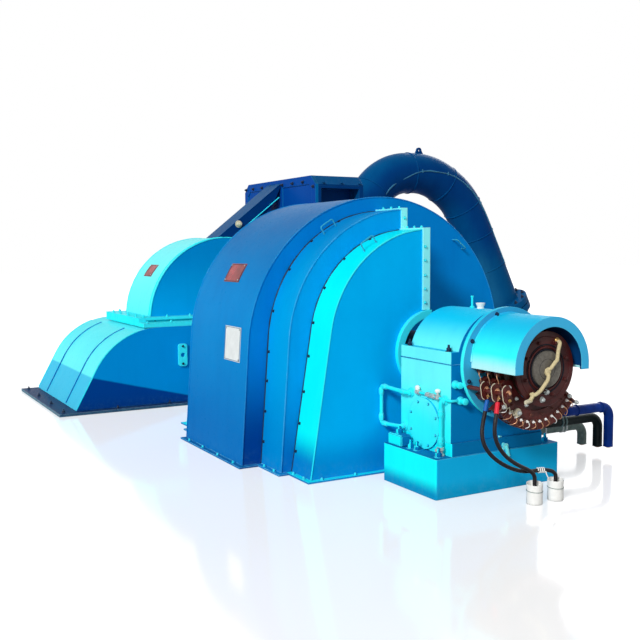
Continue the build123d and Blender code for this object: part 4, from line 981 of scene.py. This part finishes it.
make_wire("pipe_long_seam", [on_pipe(x, z) for x, z in SEAM_PLACES], 0.011, weld_bead,
          unevenness=0.35)
for number in range(3, len(SEAM_PLACES) - 4, 3):
    x, z = SEAM_PLACES[number]
    before = on_pipe(*SEAM_PLACES[number - 1])
    here = on_pipe(x, z)
    ahead = on_pipe(*SEAM_PLACES[number + 1])
    across = (ahead - before).normalized().cross(Vector((0, -1, 0)))
    make_wire(f"pipe_seam_tack_{number}", (here - across * 0.028, here, here + across * 0.020), 0.010, weld_bead,
              unevenness=0.3)
print("long seam points", len(SEAM_PLACES))

# %% [markdown]
# The bearing's pipes are screwed gas pipe, so every corner and every joint has a collar with flats.
# A collar is a short six-sided prism on the pipe's line with a plain sleeve at each end.


# %% Pipe collars and a helper for turned shapes
def add_collar(mesh, centre, along, radius, length):
    """A six-sided union with a sleeve at each end, centred on a pipe."""
    where = frame_at(centre, along)
    add_cone(mesh, where, 16, 0.86 * radius, 0.86 * radius, -0.8 * length, 1.6 * length)
    add_cone(mesh, where, 6, radius, radius, -0.4 * length, 0.8 * length)
    for end in (-1, 1):
        add_cone(mesh, where, 6, radius if end < 0 else 0.85 * radius, 0.85 * radius if end < 0 else radius,
                 0.4 * length if end < 0 else -0.5 * length, 0.1 * length)


def add_turned(mesh, where, profile, sides=28):
    """A shape turned round the frame's Z from (radius, height) pairs, closed at both ends."""
    rings = []
    for radius, height in profile:
        ring = []
        for k in range(sides):
            angle = 2 * math.pi * k / sides
            ring.append(mesh.verts.new(where @ Vector((radius * math.cos(angle), radius * math.sin(angle), height))))
        rings.append(ring)
    for low, high in zip(rings, rings[1:]):
        for k in range(sides):
            mesh.faces.new((low[k], low[(k + 1) % sides], high[(k + 1) % sides], high[k]))
    mesh.faces.new(list(reversed(rings[0])))
    mesh.faces.new(rings[-1])


PIPE_X = -0.475
BODY_X = -0.430
collars = bmesh.new()
for centre, along in (
    ((PIPE_X, -1.343, 0.655), (0, 0, 1)), ((PIPE_X, -1.343, 0.452), (0, 0, 1)), ((PIPE_X, -1.395, 0.697), (0, 1, 0)),
    ((PIPE_X, -1.395, 0.404), (0, 1, 0)), ((PIPE_X, -1.64, 0.692), (0, 1, 0)), ((PIPE_X, -2.110, 0.60), (0, 0, 1)),
    ((PIPE_X, -2.110, 0.40), (0, 0, 1)),
):
    add_collar(collars, centre, along, 0.023, 0.036)
for y, z in ((-1.69, 0.69), (-1.61, 0.42), (-2.11, 0.69)):
    add_turned(collars, frame_at((BODY_X, y, z), (-1, 0, 0)), ((0.036, -0.002), (0.036, 0.008), (0.026, 0.014),
                                                             (0.024, 0.032)))
keep_piece("oil_pipe_collars", collars, flange_paint)
print("collars on the oil pipes")

# %% [markdown]
# Between the loop and the drain a thin feed pipe crosses the pedestal with its valve: zinc nuts, a
# white hand knob, and a drain cock at the foot. They are modelled from the blurred row of bright
# and dark spots that the photograph shows there.

# %% Feed pipe, valve and drain cock
feed_route = ((-0.447, -1.775, 0.709), (-0.450, -1.93, 0.706), (-0.450, -2.06, 0.700), (-0.452, -2.13, 0.697),
              (-0.448, -2.178, 0.695), (-0.425, -2.190, 0.695), (-0.385, -2.188, 0.694), (-0.375, -2.172, 0.694))
make_wire("oil_feed_pipe", feed_route, 0.010, flange_paint, kind="NURBS")
fittings = bmesh.new()
for centre in ((-0.449, -1.80, 0.709), (-0.450, -1.93, 0.706), (-0.450, -1.99, 0.703)):
    add_collar(fittings, centre, (0, 1, 0), 0.020, 0.030)
add_turned(fittings, frame_at((-0.452, -2.045, 0.690), (0, 0, 1)),
           ((0.017, 0.0), (0.021, 0.008), (0.021, 0.024), (0.012, 0.030), (0.010, 0.042)))
add_turned(fittings, frame_at((PIPE_X, -2.110, 0.292), (0, 0, 1)),
           ((0.030, 0.0), (0.030, 0.012), (0.020, 0.018), (0.020, 0.034), (0.026, 0.040), (0.026, 0.062)))
add_bolt(fittings, frame_at((PIPE_X - 0.022, -2.110, 0.335), (-1, 0, 0)), 0.014)
keep_piece("oil_feed_fittings", fittings, zinc_steel)
knobs = bmesh.new()
KNOB = ((0.006, 0.0), (0.008, 0.010), (0.019, 0.016), (0.022, 0.026), (0.018, 0.036), (0.008, 0.040))
add_turned(knobs, frame_at((-0.452, -2.045, 0.725), (0, 0, 1)), KNOB)
add_turned(knobs, frame_at((BODY_X, -1.80, 0.740), (-1, 0, 0)), KNOB)
keep_piece("valve_knobs", knobs, white_wrap)
print("feed pipe and fittings")

# %% [markdown]
# On the cap stand a thin breather and a cup-shaped oil filler with a pale rim. The CAD model holds
# them as plain rods. Here the filler gets its flared cup, which stands over the rod, and the
# breather gets a collar at its foot and a small cap.

# %% Breather and filler cup
top_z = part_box("cap_fittings")[1][2]
cup = bmesh.new()
add_turned(cup, frame_at((0, -1.965, 1.322), (0, 0, 1)),
           ((0.028, 0.0), (0.028, 0.006), (0.0245, 0.010), (0.0245, 0.018), (0.034, 0.036), (0.035, 0.044),
            (0.031, 0.045), (0.022, 0.036), (0.010, 0.034)))
keep_piece("filler_cup", cup, white_wrap)
breather = bmesh.new()
add_turned(breather, frame_at((0, -1.868, 1.322), (0, 0, 1)), ((0.018, 0.0), (0.018, 0.014), (0.009, 0.018)))
add_turned(breather, frame_at((0, -1.868, top_z - 0.014), (0, 0, 1)), ((0.009, 0.0), (0.012, 0.003), (0.011, 0.014)))
keep_piece("breather_collars", breather, flange_paint)
print("cap fittings top", round(top_z, 3))

# %% [markdown]
# The bearing cap sits on the pedestal with four large bolts through its shoulders, two more on each
# foot, and a thin dark line where the halves meet. The round inspection cover and the end disc have
# bolts of their own. Front and rear bearings are alike, so the loop builds both.

# %% Bearing bolts and split lines
INSPECTION_Z = 0.482
DISC_BOLT_R = 0.372
AXIS_Z = 0.950
for end, label in ((-1, "front"), (1, "rear")):
    shoulder_bolts = [((side * 0.402, end * y, 1.040), (0, 0, 1)) for side in (-1, 1) for y in (1.625, 2.105)]
    bolt_group(f"cap_bolts_{label}", shoulder_bolts, 0.019, dark_steel, thread=1.2)
    foot_bolts = [((side * 0.507, end * y, 0.290), (0, 0, 1)) for side in (-1, 1) for y in (1.79, 1.87, 2.13)]
    bolt_group(f"foot_bolts_{label}", foot_bolts, 0.024, base_paint, thread=1.3)
    line = [Vector((x, end * y, AXIS_Z)) for x, y in ((0.4315, 1.549), (-0.4315, 1.549), (-0.4315, 2.171),
                                                      (-0.14, 2.171))]
    make_wire(f"cap_split_{label}", line, 0.0035, main_paint, unevenness=0.2)
    blocks = bmesh.new()
    for side in (-1, 1):
        bmesh.ops.create_cube(blocks, size=1, matrix=Matrix.Translation((side * 0.512, end * 1.648, 0.332))
                              @ Matrix.Diagonal((0.092, 0.180, 0.088, 1)))
    bmesh.ops.bevel(blocks, geom=blocks.edges[:], offset=0.008, segments=2, affect="EDGES")
    for side in (-1, 1):
        add_bolt(blocks, frame_at((side * 0.512, end * 1.648, 0.376), (0, 0, 1)), 0.026, 0.8)
    keep_piece(f"foot_stops_{label}", blocks, base_paint)
print("bearing bolts")

# %% Inspection cover and end disc bolts
ring_bolts = []
for k in range(8):
    angle = math.radians(22.5 + 45 * k)
    place = (-0.446, -1.860 + 0.166 * math.cos(angle), INSPECTION_Z + 0.166 * math.sin(angle))
    ring_bolts.append((place, (-1, 0, 0)))
bolt_group("inspection_bolts", ring_bolts, 0.009, bearing_paint, thread=0)
disc_bolts = []
for k in range(8):
    angle = math.radians(107 + 45 * k)
    place = (DISC_BOLT_R * math.cos(angle), -2.276, AXIS_Z + DISC_BOLT_R * math.sin(angle))
    disc_bolts.append((place, (0, -1, 0)))
bolt_group("end_disc_bolts", disc_bolts, 0.012, dark_steel, thread=0)
hood_weld = []
HOOD_Z = 0.978
for k in range(31):
    angle = math.radians(180 * k / 30)
    hood_weld.append((0.335 * math.cos(angle), -2.278, HOOD_Z + 0.335 * math.sin(angle)))
make_wire("slip_ring_hood_weld", hood_weld, 0.007, hood_paint, unevenness=0.25)
lugs = bmesh.new()
for x, z in ((-0.398, 0.810), (-0.352, 0.690)):
    add_turned(lugs, frame_at((x, -2.172, z), (0, -1, 0)),
               ((0.030, -0.001), (0.030, 0.014), (0.021, 0.019), (0.021, 0.050), (0.026, 0.055), (0.023, 0.070),
                (0.010, 0.075)))
keep_piece("disc_clamp_bosses", lugs, flange_paint)
print("disc bolts", len(disc_bolts))

# %% [markdown]
# A small drain cock in bright paint hooks over the front edge of the base block: a turned body on
# the step, a bent spout on the front face, and a lever.

# %% Drain cock on the base block
cock = bmesh.new()
add_turned(cock, frame_at((0.045, -2.165, 0.290), (0, 0, 1)),
           ((0.032, -0.001), (0.032, 0.014), (0.018, 0.022), (0.024, 0.050), (0.014, 0.066), (0.012, 0.094)))
add_turned(cock, frame_at((0.045, -2.160, 0.330), (0, -1, -0.15)), ((0.018, 0.0), (0.018, 0.040), (0.023, 0.056)))
keep_piece("drain_cock", cock, strip_paint)
make_wire("drain_cock_spout", ((0.047, -2.200, 0.322), (0.052, -2.216, 0.312), (0.058, -2.216, 0.276),
                              (0.072, -2.214, 0.246)), 0.014, strip_paint, kind="NURBS")
make_wire("drain_cock_lever", ((0.045, -2.165, 0.378), (0.028, -2.172, 0.388), (0.006, -2.182, 0.392)), 0.008,
          strip_paint)
print("drain cock")

# %% [markdown]
# The brush gear is the most detailed corner of the machine. Three round-ended terminal plates carry
# copper studs, and a short coloured sleeve marks each cable where it leaves its plate. The sleeves
# follow the cable's own smooth line, so they can't part from it.

# %% Terminal studs, lugs and cable sleeves
STUD = (-0.348, 0.812)
studs = bmesh.new()
for front_y in (-2.458, -2.568, -2.678):
    add_turned(studs, frame_at((STUD[0], front_y, STUD[1]), (0, -1, 0)),
               ((0.020, -0.001), (0.020, 0.003), (0.013, 0.004), (0.015, 0.009), (0.014, 0.015), (0.009, 0.021),
                (0.003, 0.023)))
keep_piece("terminal_studs", studs, copper)
PLATE_CENTRE = (-0.358, 0.803)
PLATE_TILT = 100
for number, front_y in enumerate((-2.458, -2.568, -2.678)):
    rim = []
    for end, first, last in ((1, 0, 7), (-1, 6, 11)):
        for k in range(first, last):
            angle = math.radians(15 * k)
            along = end * 0.026 + 0.0385 * math.cos(angle)
            aside = 0.0385 * math.sin(angle)
            turn = math.radians(PLATE_TILT)
            rim.append((PLATE_CENTRE[0] + along * math.cos(turn) - aside * math.sin(turn), front_y,
                        PLATE_CENTRE[1] + along * math.sin(turn) + aside * math.cos(turn)))
    make_wire(f"terminal_rim_{number}", rim, 0.0026, pale_cream, unevenness=0.3)
nuts = [((STUD[0] + 0.012, front_y, 0.762), (0, -1, 0)) for front_y in (-2.458, -2.568, -2.678)]
bolt_group("terminal_nuts", nuts, 0.009, brass)


def along_line(line, first, last):
    """The part of a smooth line between two distances from its start."""
    part = []
    travelled = 0.0
    for before, after in zip(line, line[1:]):
        if travelled >= first:
            part.append(before)
        travelled += (after - before).length
        if travelled > last:
            break
    return part


cable_one_pieces = []
cable_two_pieces = []
for pieces, line, tube, label in ((cable_one_pieces, line_one, blue_tube, "one"),
                                  (cable_two_pieces, line_two, red_tube, "two")):
    sleeve = make_wire(f"marker_sleeve_{label}", along_line(line, 0.0, 0.085), 0.0168, tube)
    start = line[0]
    neck = make_wire(f"cable_lug_{label}", (start + Vector((-0.004, -0.002, 0.012)), start + Vector((0, -0.012, 0.03)),
                                            start + Vector((-0.008, -0.016, 0.062))), 0.0065, copper)
    pieces += [sleeve, neck]
print("sleeves follow", len(along_line(line_one, 0.0, 0.085)), "points")

# %% [markdown]
# Each cable ends in a roll of white cloth, tied round the bare end while the set is in store. The
# roll is a soft tube: its wall is drawn in a little where the cloth is bound, it has upright folds,
# and its mouth gapes round the cable. It is modelled directly, from rings whose radius wavers.


# %% Wrapped cable ends
def wrapped_end(name, node_name, mouth_tilt):
    low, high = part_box(node_name)
    middle = Vector(((low[0] + high[0]) / 2, (low[1] + high[1]) / 2, 0))
    height = high[2]
    outer = (high[0] - low[0]) / 2
    chance = random.Random(name)
    folds = [(chance.uniform(0, 6.28), chance.uniform(0.4, 1.0)) for _ in range(4)]
    mesh = bmesh.new()
    rings = []
    sides = 56
    levels = [(0.0, 0.90), (0.02, 0.97), (0.12, 0.985), (0.30, 0.965), (0.50, 0.975), (0.72, 0.955), (0.88, 0.975),
              (0.97, 1.0), (1.0, 0.985), (0.985, 0.93), (0.90, 0.88), (0.70, 0.84)]
    for level, share in levels:
        ring = []
        for k in range(sides):
            angle = 2 * math.pi * k / sides
            crease = sum(strength * math.cos((3 + 2 * i) * angle + phase + 1.2 * level)
                         for i, (phase, strength) in enumerate(folds))
            radius = outer * (share + 0.006 * crease - 0.010)
            z = height * level * (1 - mouth_tilt * level * (0.5 + 0.5 * math.cos(angle + 2.2)))
            ring.append(mesh.verts.new((middle.x + radius * math.cos(angle), middle.y + radius * math.sin(angle), z)))
        rings.append(ring)
    for below, above in zip(rings, rings[1:]):
        for k in range(sides):
            mesh.faces.new((below[k], below[(k + 1) % sides], above[(k + 1) % sides], above[k]))
    mesh.faces.new(list(reversed(rings[0])))
    mesh.faces.new(rings[-1])
    roll = keep_piece(name, mesh, white_wrap, smooth_angle=60)
    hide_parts(node_name)
    tie_z = 0.62 * height
    tie = [(middle.x + 0.985 * outer * math.cos(a), middle.y + 0.985 * outer * math.sin(a), tie_z + 0.004 * math.sin(a))
           for a in (2 * math.pi * k / 32 for k in range(32))]
    make_wire(f"{name}_tie", tie, 0.0022, grey_sleeve, closed=True)
    return roll


roll_one = wrapped_end("wrapped_end_one", "cable_end_one", 0.05)
roll_two = wrapped_end("wrapped_end_two", "cable_end_two", 0.09)
print("wrapped ends", roll_one.name, roll_two.name)

# %% [markdown]
# A white strip ties the cables together where they cross the block's front. It goes round the first
# cable in three slanting turns. The turns are worked out from the cable's line: at each step a point
# is set off square to the line and turned a little further.

# %% White tie on the cable
tie_line = [p for p in line_one if 0.015 < p.x < 0.085]
turns = []
steps = 72
for k in range(steps):
    share = k / (steps - 1) * (len(tie_line) - 1)
    index = min(int(share), len(tie_line) - 2)
    here = tie_line[index].lerp(tie_line[index + 1], share - index)
    ahead = (tie_line[index + 1] - tie_line[index]).normalized()
    across = ahead.cross(Vector((0, 0, 1))).normalized()
    upward = across.cross(ahead)
    angle = 2 * math.pi * 4 * k / steps
    turns.append(here + 0.0165 * (across * math.cos(angle) + upward * math.sin(angle)))
tie = make_wire("cable_tie", turns, 0.0042, white_wrap)
tail = make_wire("cable_tie_tail", (turns[-1], turns[-1] + Vector((-0.006, -0.016, -0.02)),
                                    turns[-1] + Vector((0.012, -0.022, -0.055))), 0.0036, white_wrap)
cable_one_pieces += [tie, tail]
cable_one_pieces += [roll_one]
cable_two_pieces += [roll_two]
print("tie turns", len(turns))

# %% [markdown]
# The yoke is a sector of a ring that carries twelve brush boxes. On each box the photograph shows a
# white bolt, a bright pigtail that loops outwards, and a pale separator before the next box. All of
# them are set by radius and angle round the shaft.


# %% Brush boxes' hardware
def round_axis(radius, angle, y):
    """A point by radius and angle round the shaft's axis."""
    turn = math.radians(angle)
    return Vector((radius * math.cos(turn), y, AXIS_Z + radius * math.sin(turn)))


YOKE_FRONT = -2.576
BOX_COUNT = 12
BOX_ANGLES = [222 + (318 - 222) * k / (BOX_COUNT - 1) for k in range(BOX_COUNT)]
bolt_group("brush_box_bolts", [(round_axis(0.380, angle, YOKE_FRONT), (0, -1, 0)) for angle in BOX_ANGLES], 0.008,
           white_wrap, thread=1.0)
bolt_group("yoke_bolts", [(round_axis(0.330, angle + 4.4, YOKE_FRONT), (0, -1, 0)) for angle in BOX_ANGLES[:-1:2]],
           0.008, maroon_enamel, thread=0.8)
chance = random.Random(7)
for number, angle in enumerate(BOX_ANGLES):
    reach = 0.436 + chance.uniform(-0.012, 0.016)
    sway = chance.uniform(-2.0, 2.0)
    loop = (round_axis(0.380, angle, YOKE_FRONT - 0.012), round_axis(0.405, angle + 1.5, YOKE_FRONT - 0.030),
            round_axis(reach, angle + sway, YOKE_FRONT - 0.012), round_axis(reach + 0.004, angle + sway, -2.560),
            round_axis(0.430, angle + 0.6, -2.548), round_axis(0.420, angle, -2.545))
    make_wire(f"brush_pigtail_{number}", loop, 0.0026, white_wrap if number % 4 == 0 else copper,
              kind="NURBS")
step = BOX_ANGLES[1] - BOX_ANGLES[0]
separators = bmesh.new()
for angle in [BOX_ANGLES[0] - step / 2] + [a + step / 2 for a in BOX_ANGLES]:
    where = Matrix.Translation(round_axis(0.402, angle, -2.540)) @ Matrix.Rotation(-math.radians(angle), 4, "Y")
    bmesh.ops.create_cube(separators, size=1, matrix=where @ Matrix.Diagonal((0.070, 0.088, 0.0045, 1)))
bmesh.ops.bevel(separators, geom=separators.edges[:], offset=0.0012, segments=2, affect="EDGES")
keep_piece("brush_separators", separators, maroon_enamel)
print("brush boxes", len(BOX_ANGLES))

# %% [markdown]
# Behind the row of boxes a web closes the gap between the yoke and the hub, and on the left one brush
# box stands at each slip ring, with its spring and its pigtail. They stop short of the rings, so that
# the rotor turns clear of them here too.

# %% Web behind the boxes and the brushes at the rings
WEB_INNER_R = 0.233
WEB_OUTER_R = 0.303
WEB_FIRST = 196
WEB_LAST = 330
web = bmesh.new()
edges = []
web_steps = 48
for k in range(web_steps + 1):
    angle = WEB_FIRST + (WEB_LAST - WEB_FIRST) * k / web_steps
    edges.append([web.verts.new(round_axis(radius, angle, y)) for radius, y in
                  ((WEB_INNER_R, -2.572), (WEB_OUTER_R, -2.572), (WEB_OUTER_R, -2.556), (WEB_INNER_R, -2.556))])
for here, ahead in zip(edges, edges[1:]):
    for k in range(4):
        web.faces.new((here[k], here[(k + 1) % 4], ahead[(k + 1) % 4], ahead[k]))
web.faces.new(list(reversed(edges[0])))
web.faces.new(edges[-1])
bmesh.ops.recalc_face_normals(web, faces=web.faces[:])
keep_piece("yoke_web", web, hub_maroon)
bolt_group("yoke_web_bolts", [(round_axis(0.272, angle, -2.572), (0, -1, 0)) for angle in (206, 228, 250, 292, 314)],
           0.010, zinc_steel, thread=0.6)
boxes = bmesh.new()
for y in (-2.497, -2.4035, -2.310):
    for angle in (186, 203):
        where = Matrix.Translation(round_axis(0.268, angle, y)) @ Matrix.Rotation(-math.radians(angle), 4, "Y")
        bmesh.ops.create_cube(boxes, size=1, matrix=where @ Matrix.Diagonal((0.062, 0.046, 0.036, 1)))
bmesh.ops.bevel(boxes, geom=boxes.edges[:], offset=0.004, segments=2, affect="EDGES")
keep_piece("ring_brush_boxes", boxes, maroon_enamel)
for number, y in enumerate((-2.497, -2.4035, -2.310)):
    spring = (round_axis(0.302, 186, y - 0.012), round_axis(0.318, 189, y - 0.020), round_axis(0.312, 196, y - 0.030),
              round_axis(0.318, 201, y - 0.022), round_axis(0.302, 203, y - 0.012))
    make_wire(f"ring_brush_spring_{number}", spring, 0.0035, copper, kind="NURBS")
print("web and ring brushes")

# %% Yoke rims, pressure wires and end bracket
for number, radius in enumerate((0.301, 0.361)):
    arc = [round_axis(radius, 214 + (326 - 214) * k / 40, YOKE_FRONT - 0.001) for k in range(41)]
    make_wire(f"yoke_rim_{number}", arc, 0.0035, maroon_enamel, unevenness=0.4)
zigzag = [(-0.300, 0.722), (-0.288, 0.690), (-0.268, 0.700), (-0.262, 0.668), (-0.240, 0.676), (-0.232, 0.640),
          (-0.214, 0.652)]
make_wire("pressure_spring_wire", [(x, -2.600, z) for x, z in zigzag], 0.0045, pale_cream)
insulator = bmesh.new()
add_turned(insulator, frame_at((-0.180, YOKE_FRONT, 0.652), (0, -1, 0)),
           ((0.030, -0.001), (0.032, 0.006), (0.030, 0.014), (0.018, 0.018), (0.018, 0.024)))
keep_piece("yoke_insulator", insulator, pale_cream)
bolt_group("yoke_insulator_nut", [((-0.180, YOKE_FRONT - 0.024, 0.652), (0, -1, 0))], 0.013, zinc_steel)
bracket = bmesh.new()
for angle, radius in ((322.5, 0.390), (217.5, 0.375)):
    where = Matrix.Translation(round_axis(radius, angle, -2.545)) @ Matrix.Rotation(-math.radians(angle), 4, "Y")
    bmesh.ops.create_cube(bracket, size=1, matrix=where @ Matrix.Diagonal((0.150, 0.110, 0.008, 1)))
bmesh.ops.bevel(bracket, geom=bracket.edges[:], offset=0.002, segments=2, affect="EDGES")
keep_piece("yoke_end_brackets", bracket, maroon_enamel)
bolt_group("yoke_end_nuts", [(round_axis(0.445, 322.5, -2.600), (0, -1, 0)), (round_axis(0.36, 322.5, -2.600), (0, -1, 0)),
                             (round_axis(0.40, 217.5, -2.600), (0, -1, 0))], 0.012, zinc_steel)
print("yoke hardware")

# %% [markdown]
# The rotor's face: the hub is held by a ring of bolts, dark rings of painted shade mark the grooves round the hub and
# the shaft's end, and the two taped leads end in lugs. These pieces ride on the rotor, so they turn with the shaft.

# %% Hub and shaft end
SHAFT_FRONT = -2.675
HUB_FRONT = -2.657
flange = bmesh.new()
add_turned(flange, frame_at((0, -2.643, AXIS_Z), (0, -1, 0)),
           ((0.258, 0.0), (0.262, 0.004), (0.262, 0.010), (0.258, 0.014), (0.168, 0.014), (0.164, 0.010)), sides=72)
keep_piece("hub_flange", flange, hub_maroon, body="rotor")
hub_bolts = [(round_axis(0.192, 20 + 45 * k, HUB_FRONT), (0, -1, 0)) for k in range(8)]
bolt_group("hub_bolts", hub_bolts, 0.013, hub_maroon, body="rotor")
hub_nuts = [(round_axis(0.160, 273, HUB_FRONT), (0, -1, 0)), (round_axis(0.212, 262, HUB_FRONT), (0, -1, 0))]
bolt_group("hub_bright_nuts", hub_nuts, 0.016, zinc_steel, body="rotor")


def rotor_ring(name, radius, y, wire, material):
    ring = [round_axis(radius, 9 * k, y) for k in range(40)]
    return make_wire(name, ring, wire, material, body="rotor", closed=True, unevenness=0.1)


rotor_ring("hub_step", 0.222, HUB_FRONT, 0.004, hub_maroon)
rotor_ring("hub_inner_rim", 0.150, HUB_FRONT, 0.007, hub_maroon)
# The dark rings are painted shade in the grooves.
rotor_ring("hub_groove", 0.168, HUB_FRONT, 0.004, painted_groove_shade)
rotor_ring("shaft_groove", 0.132, HUB_FRONT, 0.006, painted_groove_shade)
rotor_ring("shaft_chamfer", 0.1235, SHAFT_FRONT + 0.001, 0.003, shaft_steel)
rotor_ring("shaft_face_groove", 0.070, SHAFT_FRONT, 0.0012, painted_groove_shade)
leads = bmesh.new()
add_turned(leads, frame_at((0.100, HUB_FRONT, 1.138), (0, -1, 0)),
           ((0.022, -0.002), (0.023, 0.006), (0.018, 0.012), (0.014, 0.022), (0.007, 0.026)))
keep_piece("field_lead_lug", leads, brass, body="rotor")
make_wire("field_lead_tail", ((-0.120, -2.672, 0.792), (-0.140, -2.680, 0.768), (-0.156, -2.680, 0.748)), 0.0135,
          cream_tape, body="rotor")
foot = bmesh.new()
bmesh.ops.create_cube(foot, size=1, matrix=Matrix.Translation((-0.166, -2.674, 0.742))
                      @ Matrix.Rotation(math.radians(-12), 4, "Y") @ Matrix.Diagonal((0.074, 0.016, 0.030, 1)))
bmesh.ops.bevel(foot, geom=foot.edges[:], offset=0.006, segments=3, affect="EDGES")
add_bolt(foot, frame_at((-0.186, -2.682, 0.744), (0, -1, 0)), 0.009)
keep_piece("field_lead_foot", foot, pale_cream, body="rotor")
clamp = bmesh.new()
add_turned(clamp, frame_at((0.0, SHAFT_FRONT, AXIS_Z - 0.017), (0, -1, 0)),
           ((0.026, -0.001), (0.026, 0.010), (0.018, 0.016), (0.014, 0.018)))
keep_piece("field_lead_clamp", clamp, cream_tape, body="rotor")
print("rotor face pieces", len(hub_bolts) + 8)

# %% [markdown]
# The output leads are sleeved bars. Grey and white tape is wound on them where they leave the
# generator, and a dark ring shows the open end of each sleeve.

# %% Tape and sleeve ends on the output leads
OUTPUT_R = 0.040


def lead_ring(name, centre, along, radius, wire, material):
    where = frame_at(centre, along)
    ring = [where @ Vector((radius * math.cos(a), radius * math.sin(a), 0))
            for a in (2 * math.pi * k / 32 for k in range(32))]
    make_wire(name, ring, wire, material, closed=True, unevenness=0.15)


for lead, y, z, bands, material in (
    ("middle", -1.730, 0.320, (1.06, 1.10), grey_sleeve), ("inner", -1.550, 0.222, (0.96, 1.04, 1.24, 1.28), white_wrap),
    ("outer", -1.850, 0.430, (1.12, 1.40), navy_sleeve),
):
    for number, x in enumerate(bands):
        lead_ring(f"output_band_{lead}_{number}", (x, y, z), (1, 0, 0), OUTPUT_R, 0.008, material)
for lead, y, z, material in (("outer", -1.850, 0.088, navy_sleeve), ("middle", -1.730, 0.068, black_sleeve),
                             ("inner", -1.550, 0.053, grey_sleeve)):
    lead_ring(f"output_mouth_{lead}", (1.500, y, z), (0, 0, 1), 0.037, 0.005, material)
    heart = bmesh.new()
    add_turned(heart, frame_at((1.500, y, z - 0.003), (0, 0, -1)), ((0.024, -0.004), (0.024, 0.006), (0.020, 0.010)))
    keep_piece(f"output_core_{lead}", heart, copper)
print("output leads")

# %% [markdown]
# Now the two cables' CAD tubes are hidden, and the cables ride on the root body. The length listed for each is the real
# one: from the terminal plate down, across the front of the base block and into the wrapped end.

for cable, node_name, route, length, extras in (
    (cable_one, "brush_cable_one", CABLE_ONE, 1.08, cable_one_pieces),
    (cable_two, "brush_cable_two", CABLE_TWO, 0.83, cable_two_pieces),
):
    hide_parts(node_name)
    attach(cable, "root")
print("cables", cable_one.name, cable_two.name)

# %% [markdown]
# The stage is a pale, slightly polished floor and soft light. The background's white comes from the
# world and the floor as the camera sees them, not from stronger lamps, so the paints keep their
# colour under other light too. The polish lets the set mirror softly in the floor, as it does in
# the photograph.

# %% Floor, world and lamps
bpy.ops.mesh.primitive_plane_add(size=120, location=(0, 0, -0.001))
floor = bpy.context.object
floor.name = "studio_floor"
floor_material, floor_tree, floor_shader = new_material("pale_floor")
floor_shader.inputs["Base Color"].default_value = (0.55, 0.55, 0.55, 1)
floor_shader.inputs["Roughness"].default_value = 0.10
floor_shader.inputs["Specular IOR Level"].default_value = 0.9
floor_shader.inputs["Emission Color"].default_value = (1, 1, 1, 1)
floor_path = add_node(floor_tree, "ShaderNodeLightPath")
floor_glow = sum_node(floor_tree, "MULTIPLY", floor_path.outputs["Is Camera Ray"], 0.53)
join(floor_tree, floor_glow, floor_shader.inputs["Emission Strength"])
floor.data.materials.append(floor_material)

world = bpy.data.worlds.new("studio")
bpy.context.scene.world = world
world.use_nodes = True
world_tree = world.node_tree
background = world_tree.nodes["Background"]
background.inputs["Color"].default_value = (1, 1, 1, 1)
world_path = add_node(world_tree, "ShaderNodeLightPath")
seen = sum_node(world_tree, "MAXIMUM", world_path.outputs["Is Camera Ray"], world_path.outputs["Is Glossy Ray"])
seen = sum_node(world_tree, "MAXIMUM", seen, world_path.outputs["Is Transmission Ray"])
join(world_tree, remap(world_tree, seen, 0.0, 1.0, 0.36, 1.0), background.inputs["Strength"])


def add_sun(name, towards, strength, angle):
    """A sun whose light comes from the given direction."""
    data = bpy.data.lights.new(name, "SUN")
    data.energy = strength
    data.angle = math.radians(angle)
    sun = bpy.data.objects.new(name, data)
    sun.rotation_euler = Vector(towards).to_track_quat("Z", "Y").to_euler()
    bpy.context.scene.collection.objects.link(sun)
    return sun


add_sun("key_from_the_left", (-0.74, -0.46, 0.5), 2.4, 12)
add_sun("fill_from_behind", (0.7, 0.5, 0.45), 0.7, 30)
print("stage ready")
